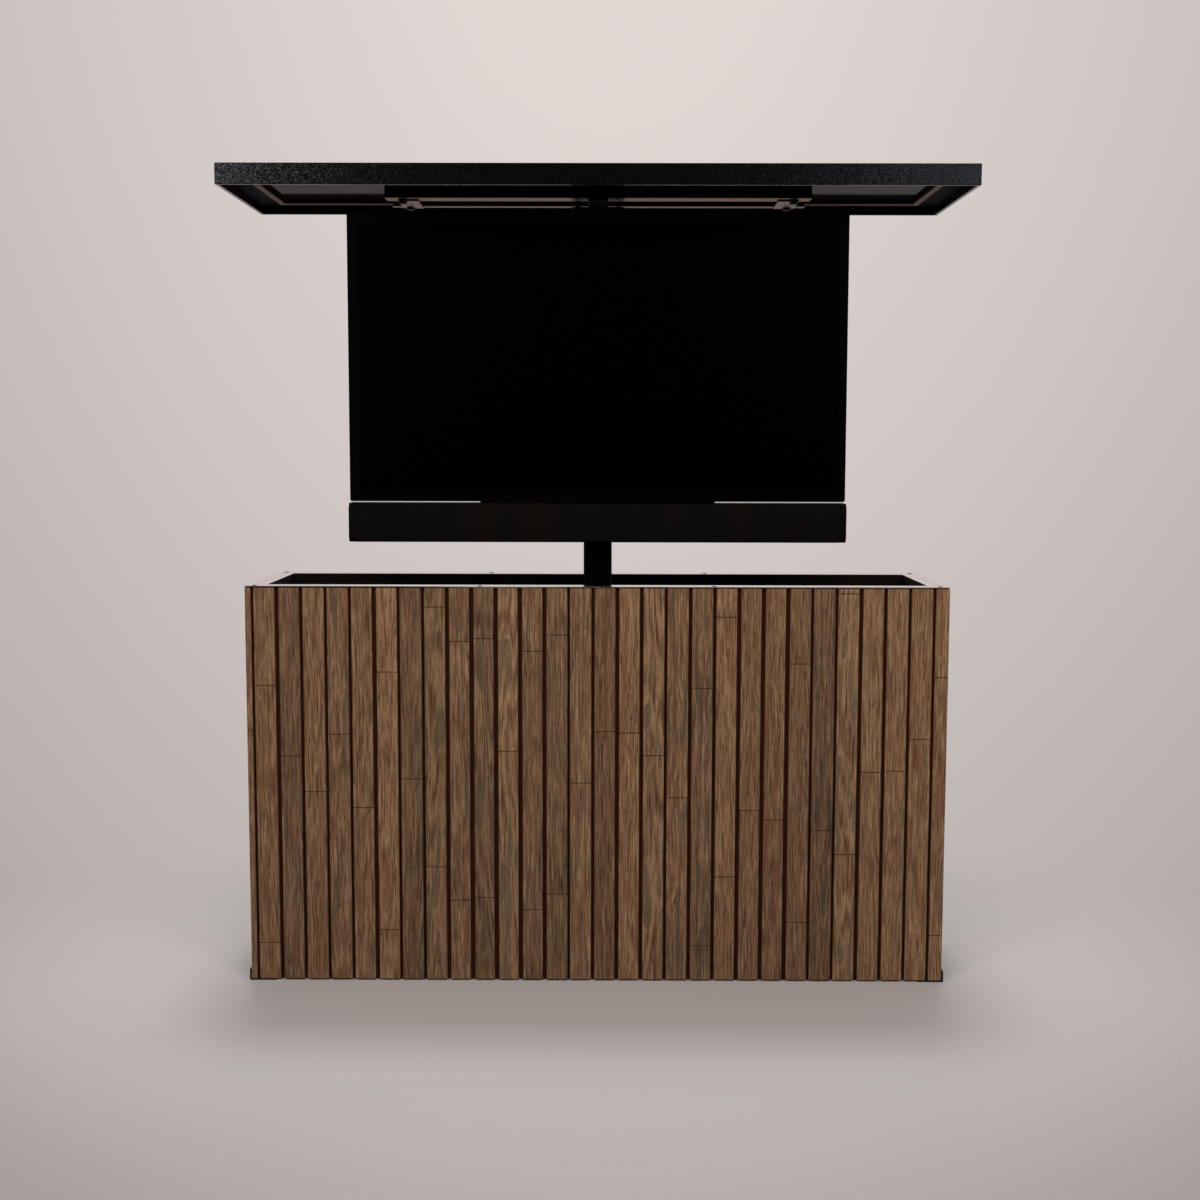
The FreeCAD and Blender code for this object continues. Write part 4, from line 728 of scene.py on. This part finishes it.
# %% Metals
def make_metal(name, colour, roughness, spread, patch_mm, squeeze=(1.0, 1.0, 1.0),
               contrast=0.15, grazing="#FFFFFF"):
    """A bare or plated metal, with patches of a given size and stretch in its finish."""
    material, tree = start_material(name)
    place = add(tree, "ShaderNodeTexCoord")
    along = add(tree, "ShaderNodeVectorMath", {
        0: place.outputs["Object"], 1: squeeze,
    }, operation="MULTIPLY")
    patches = add(tree, "ShaderNodeTexNoise", {
        "Vector": along.outputs[0], "Scale": 1000.0 / patch_mm, "Detail": 4.0, "Roughness": 0.6,
    })
    tone = add(tree, "ShaderNodeMapRange", {
        "Value": patches.outputs["Fac"], "From Min": 0.3, "From Max": 0.7, "To Min": 1.0 - contrast,
        "To Max": 1.0 + contrast * 0.6,
    })
    toned = add(tree, "ShaderNodeVectorMath", {
        0: linear(colour)[:3], 3: tone.outputs[0],
    }, operation="SCALE")
    rough = add(tree, "ShaderNodeMapRange", {
        "Value": patches.outputs["Fac"], "To Min": roughness - spread, "To Max": roughness + spread,
    })
    bump = add(tree, "ShaderNodeBump", {
        "Height": patches.outputs["Fac"], "Strength": 0.12, "Distance": 0.3 * MM,
    })
    end_material(tree, add(tree, "ShaderNodeBsdfPrincipled", {
        "Base Color": toned.outputs[0], "Metallic": 1.0, "Roughness": rough.outputs[0],
        "Normal": bump.outputs[0], "Specular Tint": linear(grazing),
    }))
    return material


anodised = make_metal(
    "satin_anodised_aluminium", "#E6DEDA", 0.16, 0.05, 6.0, squeeze=(0.05, 1.0, 1.0),
)
zinc = make_metal("bright_zinc_plate", "#8A7C71", 0.32, 0.12, 9.0, contrast=0.5, grazing="#C8C2C0")
galvanised = make_metal("hot_dip_galvanised_steel", "#B8B0A8", 0.5, 0.1, 9.0, contrast=0.3)
cast_alloy = make_metal("die_cast_alloy", "#A9AAAD", 0.5, 0.1, 3.0)
ground_steel = make_metal("ground_steel", "#BFC0C2", 0.22, 0.05, 2.0, squeeze=(1.0, 1.0, 8.0))
brass = make_metal("turned_brass", "#C9A861", 0.3, 0.08, 2.5, squeeze=(1.0, 1.0, 6.0))
black_oxide = make_metal("black_oxide_steel", "#121111", 0.5, 0.1, 3.0)
rail_steel = make_metal("phosphated_steel", "#3E3733", 0.25, 0.06, 4.0, grazing="#CDB8AA")
print("made", anodised.name, zinc.name, galvanised.name, cast_alloy.name, rail_steel.name)

# %% [markdown]
# ## Moulded plastics and rubber
# ABS housings leave the mould with the fine grain of the spark eroded steel. The television's
# frame is smoother than its back. Acetal glides are waxy, and rubber and foam are dull. The
# motor's baked enamel is as even as a moulding, so the same function makes it. Some grains
# are finer in truth, and are drawn a millimetre or two across so that they show.

# %% Plastics, rubber and foam
# patches of wear to a metre
WEAR_SCALE = 6.0


def make_moulded(name, colour, grain_mm, depth_mm, roughness, gloss=0.4):
    """A moulded polymer with an even grain from the mould's surface."""
    material, tree = start_material(name)
    place = add(tree, "ShaderNodeTexCoord")
    grain = add(tree, "ShaderNodeTexNoise", {
        "Vector": place.outputs["Object"], "Scale": 1000.0 / grain_mm, "Detail": 3.0, "Roughness": 0.7,
    })
    wear = add(tree, "ShaderNodeTexNoise", {
        "Vector": place.outputs["Object"], "Scale": WEAR_SCALE, "Detail": 5.0,
    })
    tone = add(tree, "ShaderNodeMapRange", {
        "Value": grain.outputs["Fac"], "To Min": 0.8, "To Max": 1.2,
    })
    toned = add(tree, "ShaderNodeVectorMath", {
        0: linear(colour)[:3], 3: tone.outputs[0],
    }, operation="SCALE")
    rough = add(tree, "ShaderNodeMapRange", {
        "Value": wear.outputs["Fac"], "To Min": roughness - 0.08, "To Max": roughness + 0.1,
    })
    bump = add(tree, "ShaderNodeBump", {
        "Height": grain.outputs["Fac"], "Strength": 0.4, "Distance": depth_mm * MM,
    })
    end_material(tree, add(tree, "ShaderNodeBsdfPrincipled", {
        "Base Color": toned.outputs[0], "Roughness": rough.outputs[0], "Normal": bump.outputs[0],
        "Specular IOR Level": gloss,
    }))
    return material


tv_frame_abs = make_moulded("satin_black_abs", "#020202", 1.2, 0.01, 0.4, gloss=0.05)
tv_cover_abs = make_moulded("grained_black_abs", "#141313", 1.8, 0.12, 0.6, gloss=0.3)
moulding_abs = make_moulded("matt_black_abs", "#141312", 1.6, 0.08, 0.55, gloss=0.3)
bar_abs = make_moulded("sound_bar_abs", "#080706", 1.5, 0.03, 0.5, gloss=0.15)
acetal = make_moulded("black_acetal", "#101010", 1.5, 0.02, 0.35, gloss=0.4)
motor_enamel = make_moulded("motor_enamel", "#17171A", 2.0, 0.02, 0.3, gloss=0.5)
rubber = make_moulded("black_rubber", "#0A0909", 1.0, 0.05, 0.75, gloss=0.2)
foam = make_moulded("grey_closed_cell_foam", "#826E64", 1.6, 0.35, 0.8, gloss=0.15)
print("made", tv_frame_abs.name, tv_cover_abs.name, acetal.name, foam.name)

# %% [markdown]
# ## Screen glass, glossy laminate and speaker cloth
# The screen is glass with an etched anti-glare skin over a panel that is off. It gives
# almost nothing back from the front. The lid's ceiling is a polished black laminate, which
# mirrors the backdrop at a low angle. The sound bar's face is a tight woven cloth, with a
# painted sheen of broad slanted bands, a little warmer and cooler.

# %% Screen glass
# etched pits to a metre
ETCH_SCALE = 900.0


def make_screen_glass():
    """Etched glass over a dark panel."""
    material, tree = start_material("etched_screen_glass")
    place = add(tree, "ShaderNodeTexCoord")
    etch = add(tree, "ShaderNodeTexNoise", {
        "Vector": place.outputs["Object"], "Scale": ETCH_SCALE, "Detail": 2.0,
    })
    rough = add(tree, "ShaderNodeMapRange", {
        "Value": etch.outputs["Fac"], "To Min": 0.2, "To Max": 0.3,
    })
    bump = add(tree, "ShaderNodeBump", {
        "Height": etch.outputs["Fac"], "Strength": 0.05, "Distance": 0.02 * MM,
    })
    end_material(tree, add(tree, "ShaderNodeBsdfPrincipled", {
        "Base Color": linear("#010101"), "Roughness": rough.outputs[0], "Normal": bump.outputs[0],
        "Specular IOR Level": 0.05,
    }))
    return material


screen_glass = make_screen_glass()
print("made", screen_glass.name)

# %% Ceiling laminate
# ripples to a metre
RIPPLE_SCALE = 30.0


def make_laminate():
    """A polished black laminate with a faint ripple."""
    material, tree = start_material("polished_black_laminate")
    place = add(tree, "ShaderNodeTexCoord")
    ripple = add(tree, "ShaderNodeTexNoise", {
        "Vector": place.outputs["Object"], "Scale": RIPPLE_SCALE, "Detail": 3.0,
    })
    rough = add(tree, "ShaderNodeMapRange", {
        "Value": ripple.outputs["Fac"], "To Min": 0.05, "To Max": 0.09,
    })
    bump = add(tree, "ShaderNodeBump", {
        "Height": ripple.outputs["Fac"], "Strength": 0.1, "Distance": 0.2 * MM,
    })
    end_material(tree, add(tree, "ShaderNodeBsdfPrincipled", {
        "Base Color": linear("#1C1410"), "Roughness": rough.outputs[0], "Normal": bump.outputs[0],
        "Specular IOR Level": 0.0024,
    }))
    return material


laminate = make_laminate()
print("made", laminate.name)

# %% Speaker cloth
CLOTH_THREAD_MM = 3.0
# a wave texture of scale 1 repeats every tau / 20
WAVE_UNIT = math.tau / 20
# broad slanted bands of painted sheen, squeezed across their length
SHEEN_BAND_SLANT = math.radians(52)
SHEEN_BAND_SQUEEZE = (5.0, 1.0, 0.9)
SHEEN_BAND_SCALE = 2.2


def make_cloth():
    """Two sets of threads crossing, drawn coarser than the real 0.4 mm so that they show, under a
    painted sheen in broad bands.
    """
    material, tree = start_material("woven_speaker_cloth")
    place = add(tree, "ShaderNodeTexCoord")
    warp, weft = [
        add(tree, "ShaderNodeTexWave", {
            "Vector": place.outputs["Object"], "Scale": 1000.0 / CLOTH_THREAD_MM * WAVE_UNIT,
            "Distortion": 0.3,
        }, wave_type="BANDS", bands_direction=direction)
        for direction in ("X", "Z")
    ]
    weave = add(tree, "ShaderNodeMath", {
        0: warp.outputs["Fac"], 1: weft.outputs["Fac"],
    }, operation="MULTIPLY")
    slanted = add(tree, "ShaderNodeMapping", {
        "Vector": place.outputs["Object"], "Rotation": (0.0, SHEEN_BAND_SLANT, 0.0), "Scale": SHEEN_BAND_SQUEEZE,
    })
    sheen_bands = add(tree, "ShaderNodeTexNoise", {
        "Vector": slanted.outputs[0], "Scale": SHEEN_BAND_SCALE, "Detail": 1.0,
    })
    # the cloth's near black, a little warmer and cooler in bands of painted sheen
    sheen_tint = add(tree, "ShaderNodeValToRGB", {0: sheen_bands.outputs["Fac"]}, stops=[
        (0.36, "#0E0C0B"), (0.5, "#0A0B0E"), (0.64, "#110C0A"),
    ])
    light = add(tree, "ShaderNodeMapRange", {"Value": weave.outputs[0], "To Min": 0.9, "To Max": 1.15})
    toned = add(tree, "ShaderNodeVectorMath", {
        0: sheen_tint.outputs[0], 3: light.outputs[0],
    }, operation="SCALE")
    bump = add(tree, "ShaderNodeBump", {
        "Height": weave.outputs[0], "Strength": 0.3, "Distance": 0.3 * MM,
    })
    end_material(tree, add(tree, "ShaderNodeBsdfPrincipled", {
        "Base Color": toned.outputs[0], "Roughness": 0.85, "Normal": bump.outputs[0],
        "Specular IOR Level": 0.08,
    }))
    return material


cloth = make_cloth()
print("made", cloth.name)

# %% [markdown]
# ## Dressing the frame
# The record names a finish for every node, and one table says which material stands for
# each. A few nodes then get one of their own: each wall of slats its walnut, the brackets
# their coat and the tie its zinc. A narrow bevel goes round hard edges, because no real edge
# is perfectly sharp and the thin light line on it tells the eye where one piece ends.

# %% Material for every finish
FINISHES = {
    "backing_board": plywood_stain_and_groove_shade, "plywood": base_plywood_stain_and_shade, "batten_timber": softwood_stain_and_shade,
    "slat_timber": walnut["front_slats"], "black_moulding": moulding_abs, "black_screw": black_oxide,
    "rim_metal": anodised, "shoe_steel": shoe_coat, "lid_enamel": lid_coat, "lid_core": core_coat,
    "ceiling_laminate": laminate, "seal_foam": foam, "column_enamel": column_coat,
    "glide_plastic": acetal, "zinc_bolt": zinc, "zinc_plate": zinc, "cast_alloy": cast_alloy,
    "bearing_steel": ground_steel, "brass": brass, "motor_case": motor_enamel,
    "carrier_enamel": rail_steel, "isolator_rubber": rubber, "tv_frame": tv_frame_abs,
    "tv_glass": screen_glass, "tv_cover": tv_cover_abs, "bar_case": bar_abs, "bar_cloth": cloth,
}
COATED_BRACKETS = ("mount_hanger", "cross_rails", "mount_arms", "sound_bar_bracket", "head_plate")


def dress(name, finish):
    """Give a finish to a node's one material slot."""
    nodes[name].material_slots[0].material = finish


for part in frame["record"]["subparts"]:
    dress(part["node"], FINISHES[part["material_slot"]])
for name in COATED_BRACKETS:
    dress(name, hanger_coat)
dress("centre_tie", galvanised)
for name, material in walnut.items():
    dress(name, material)

# %% Soft edges
def soften(name, width_mm, segments=2, angle=35):
    """Join the node's split faces and round its hard edges by a millimetre or two."""
    weld = nodes[name].modifiers.new("weld", "WELD")
    weld.merge_threshold = WELD_REACH
    bevel = nodes[name].modifiers.new("edges", "BEVEL")
    bevel.width = width_mm * MM
    bevel.segments = segments
    bevel.limit_method = "ANGLE"
    bevel.angle_limit = math.radians(angle)
    even = nodes[name].modifiers.new("shading", "WEIGHTED_NORMAL")
    even.keep_sharp = False


EDGES = {
    "lid_shell": 1.6, "top_rim": 0.4, "tv_bezel": 1.2, "tv_back_cover": 2.0, "sound_bar_body": 1.5,
    "sound_bar_end_caps": 2.0, "sound_bar_grille": 0.8, "front_rail": 0.8, "rear_rail": 0.8,
    "end_plates": 0.6, "centre_tie": 0.6, "corner_shoes": 0.6, "mount_hanger": 0.8, "cross_rails": 0.6,
    "mount_arms": 0.6, "head_plate": 0.8, "lift_base_plate": 0.8, "gearbox": 1.5, "control_box": 2.0,
    "power_inlet": 0.6, "column_brace": 0.8, "lid_soffit": 1.0, "sound_bar_bracket": 0.6,
    "vent_grilles": 0.3, "cable_outlet": 0.5, "lid_seal": 0.6,
}
SLAT_EDGE_MM = 0.6
# the bevels of the slats get the end grain's dark brown, which draws their edges and joints
for name in WALLS:
    soften(name, SLAT_EDGE_MM, segments=1, angle=60)
    nodes[name].data.materials.append(end_grain)
    nodes[name].modifiers["edges"].material = 1
for name, width in EDGES.items():
    soften(name, width)
print("softened", len(WALLS) + len(EDGES), "nodes")

# %% [markdown]
# ## Screw and bolt heads
# The frame holds each screw as a plain prism of the right size. A real one is a turned or
# forged head: a low button with a hexagon socket on the rim, a pan head on the service
# panel, and a chamfered hexagon on the bolts. Each head is a stack of rings round its axis,
# round or hexagonal, with faces between them, and takes its prism's place.

# %% Pieces from loops of points
def add_stack(shape, loops):
    """Faces between loops of points, each loop as long as the next, closed at both ends."""
    rings = [[shape.verts.new(spot) for spot in loop] for loop in loops]
    for low, high in zip(rings, rings[1:]):
        for step in range(len(low)):
            after = (step + 1) % len(low)
            shape.faces.new((low[step], low[after], high[after], high[step]))
    shape.faces.new(list(reversed(rings[0])))
    shape.faces.new(rings[-1])


def make_piece(name, shape, material):
    """A new object from a finished bmesh, in one material."""
    mesh = bpy.data.meshes.new(name)
    shape.to_mesh(mesh)
    shape.free()
    mesh.materials.append(material)
    return put(name, mesh)


# %% Heads from rings
HEAD_STEPS = 24
SHARP = math.radians(28)


def ring_of(seat, turn, height, radius, sides):
    """One ring of a head: a circle, or a polygon whose corners lie at the radius."""
    made = []
    for step in range(HEAD_STEPS):
        angle = step * math.tau / HEAD_STEPS
        reach = radius
        if sides:
            part = math.tau / sides
            reach = radius * math.cos(part / 2) / math.cos(angle % part - part / 2)
        spot = Vector((reach * math.cos(angle), reach * math.sin(angle), height)) * MM
        made.append(seat + turn @ spot)
    return made


def make_heads(name, node, slot, body, kinds):
    """One piece that stands for a node: heads of one or more kinds, each at its seats."""
    shape = bmesh.new()
    for seats, outward, rings in kinds:
        turn = outward.to_track_quat("Z", "Y")
        for seat in seats:
            add_stack(shape, [ring_of(seat, turn, *ring) for ring in rings])
    for face in shape.faces:
        face.smooth = True
    for edge in shape.edges:
        edge.smooth = edge.calc_face_angle(0.0) < SHARP
    made = make_piece(name, shape, FINISHES[slot])
    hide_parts(node)
    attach(made, body)
    print(name, "heads:", sum(len(seats) for seats, outward, rings in kinds))


def seats_on(node, outward):
    """Where a node's screws sit: the middle of the end that faces what they hold."""
    return [
        (low + high) / 2 - outward * abs(outward.dot(high - low)) / 2
        for low, high in solids_of(node)
    ]


UP, DOWN, BACKWARD = Vector((0, 0, 1)), Vector((0, 0, -1)), Vector((0, 1, 0))
print("head steps:", HEAD_STEPS)

# %% Button and pan heads
# each ring is its height and radius in millimetres, and 0 for a circle or 6 for a hexagon
# a low button, 11 mm across and 0.8 mm high, with a 4 mm hexagon socket
BUTTON = [(0.0, 5.5, 0), (0.3, 5.4, 0), (0.6, 4.9, 0), (0.8, 3.9, 0), (0.8, 2.3, 6), (0.15, 2.1, 6)]
# a pan head, 12 mm across and 2.5 mm high, with a 4.5 mm hexagon socket
PAN = [
    (0.0, 6.0, 0), (1.0, 6.0, 0), (1.8, 5.5, 0), (2.3, 4.4, 0), (2.5, 3.4, 0), (2.5, 2.6, 6),
    (0.9, 2.4, 6),
]

make_heads("rim_button_heads", "rim_screws", "black_screw", "cabinet", [
    (seats_on("rim_screws", UP), UP, BUTTON),
])
make_heads("panel_pan_heads", "access_screws", "black_screw", "cabinet", [
    (seats_on("access_screws", BACKWARD), BACKWARD, PAN),
])

# %% Hexagon heads
def hexagon(radius, height):
    """A hexagon head, chamfered to a circle at its top, with a shallow dish in it."""
    return [
        (0.0, radius, 6), (0.76 * height, radius, 6), (height, 0.85 * radius, 0),
        (height, 0.6 * radius, 0), (height - 0.4, 0.5 * radius, 0),
    ]


# large bolts hang under the end plates, and small ones stand on the rails near the middle
MIDDLE_REACH = 0.1
hanging = [seat for seat in seats_on("carrier_bolts", DOWN) if abs(seat.x) > MIDDLE_REACH]
standing = [seat for seat in seats_on("carrier_bolts", UP) if abs(seat.x) < MIDDLE_REACH]
make_heads("carrier_hexagon_heads", "carrier_bolts", "black_screw", "tv_carriage", [
    (hanging, DOWN, hexagon(9.5, 5.0)), (standing, UP, hexagon(6.0, 5.0)),
])
make_heads("head_plate_hexagon_heads", "head_bolts", "zinc_bolt", "tv_carriage", [
    (seats_on("head_bolts", UP), UP, hexagon(6.0, 5.0)),
])
make_heads("mount_hexagon_heads", "mount_screws", "zinc_bolt", "tv_carriage", [
    (seats_on("mount_screws", BACKWARD), BACKWARD, hexagon(6.0, 5.0)),
])
make_heads("anchor_hexagon_heads", "anchor_bolts", "zinc_bolt", "cabinet", [
    (seats_on("anchor_bolts", UP), UP, hexagon(8.4, 6.0)),
])

# %% [markdown]
# ## Sockets in the television's back
# A recess in the back cover holds the sockets for signal cables. Each is a thin drawn steel
# shell, open to the back, round a flat tongue. A shell is four thin walls and a tongue is a
# small block, all standing on the recess's floor.

# %% Sockets
RECESS_FLOOR = Vector((0.382, -0.046, 1.4135))
SHELL_WALL = 0.9
SHELL_STAND = 5.0
TONGUE_HEIGHT = 1.2
# each socket's place across and up from the recess's middle, its width and height, in mm
SOCKETS = [
    (-14.0, 52.0, 15.0, 6.0), (-14.0, 34.0, 15.0, 6.0), (-14.0, 16.0, 15.0, 6.0),
    (-14.0, -4.0, 14.0, 7.0), (-14.0, -24.0, 14.0, 7.0), (-14.0, -48.0, 16.0, 14.0),
    (14.0, 50.0, 10.0, 10.0), (14.0, 28.0, 9.0, 4.0),
]


def add_block(shape, across, up, width, height, stand):
    """A block that stands on the recess's floor, in millimetres from the recess's middle."""
    outline = [
        (across + x * width / 2, up + z * height / 2)
        for x, z in ((-1, -1), (1, -1), (1, 1), (-1, 1))
    ]
    add_stack(shape, [
        [RECESS_FLOOR + Vector((x, y, z)) * MM for x, z in outline] for y in (0.0, stand)
    ])


shape = bmesh.new()
for across, up, width, height in SOCKETS:
    side = (width - SHELL_WALL) / 2
    edge = (height - SHELL_WALL) / 2
    for sign in (-1, 1):
        add_block(shape, across + sign * side, up, SHELL_WALL, height, SHELL_STAND)
        add_block(shape, across, up + sign * edge, width - 2 * SHELL_WALL, SHELL_WALL, SHELL_STAND)
    add_block(shape, across, up, 0.6 * width, TONGUE_HEIGHT, 0.7 * SHELL_STAND)
bmesh.ops.recalc_face_normals(shape, faces=shape.faces)
ports = make_piece("port_sockets", shape, ground_steel)
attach(ports, "tv_carriage")
print("sockets:", len(SOCKETS))

# %% [markdown]
# ## Sealant in the rim's mitres
# The rim is four strips, mitred at the corners. Each mitre is a narrow groove, filled with a
# dark sealant that keeps rain out. The bead is a thin strip that lies in the groove from
# the rim's inner corner to its outer one, just below the metal.

# %% Mitre sealant
BEAD_WIDTH = 1.1 * MM
BEAD_SINK = 0.1 * MM
BEAD_DEPTH = 0.5 * MM
# how far along both sides of the rim's corner the bead starts and ends
BEAD_START = 1.0 * MM
BEAD_END = 42.5 * MM

rim_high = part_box("top_rim")[1]
shape = bmesh.new()
for side in (-1, 1):
    for end in (-1, 1):
        corner = Vector((side * rim_high[0], end * rim_high[1], rim_high[2] - BEAD_SINK))
        inward = Vector((-side, -end, 0.0))
        across = Vector((side, -end, 0.0)).normalized() * BEAD_WIDTH / 2
        outer, inner = corner + inward * BEAD_START, corner + inward * BEAD_END
        top = [outer - across, outer + across, inner + across, inner - across]
        add_stack(shape, [[spot - Vector((0, 0, BEAD_DEPTH)) for spot in top], top])
bmesh.ops.recalc_face_normals(shape, faces=shape.faces)
sealant = make_piece("mitre_sealant", shape, rubber)
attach(sealant, "cabinet")
print("beads:", len(sealant.data.polygons) // 6)

# %% [markdown]
# ## Last steps
# Colours are shown as they are, with no film curve.

# %% View
bpy.context.scene.view_settings.view_transform = "Standard"
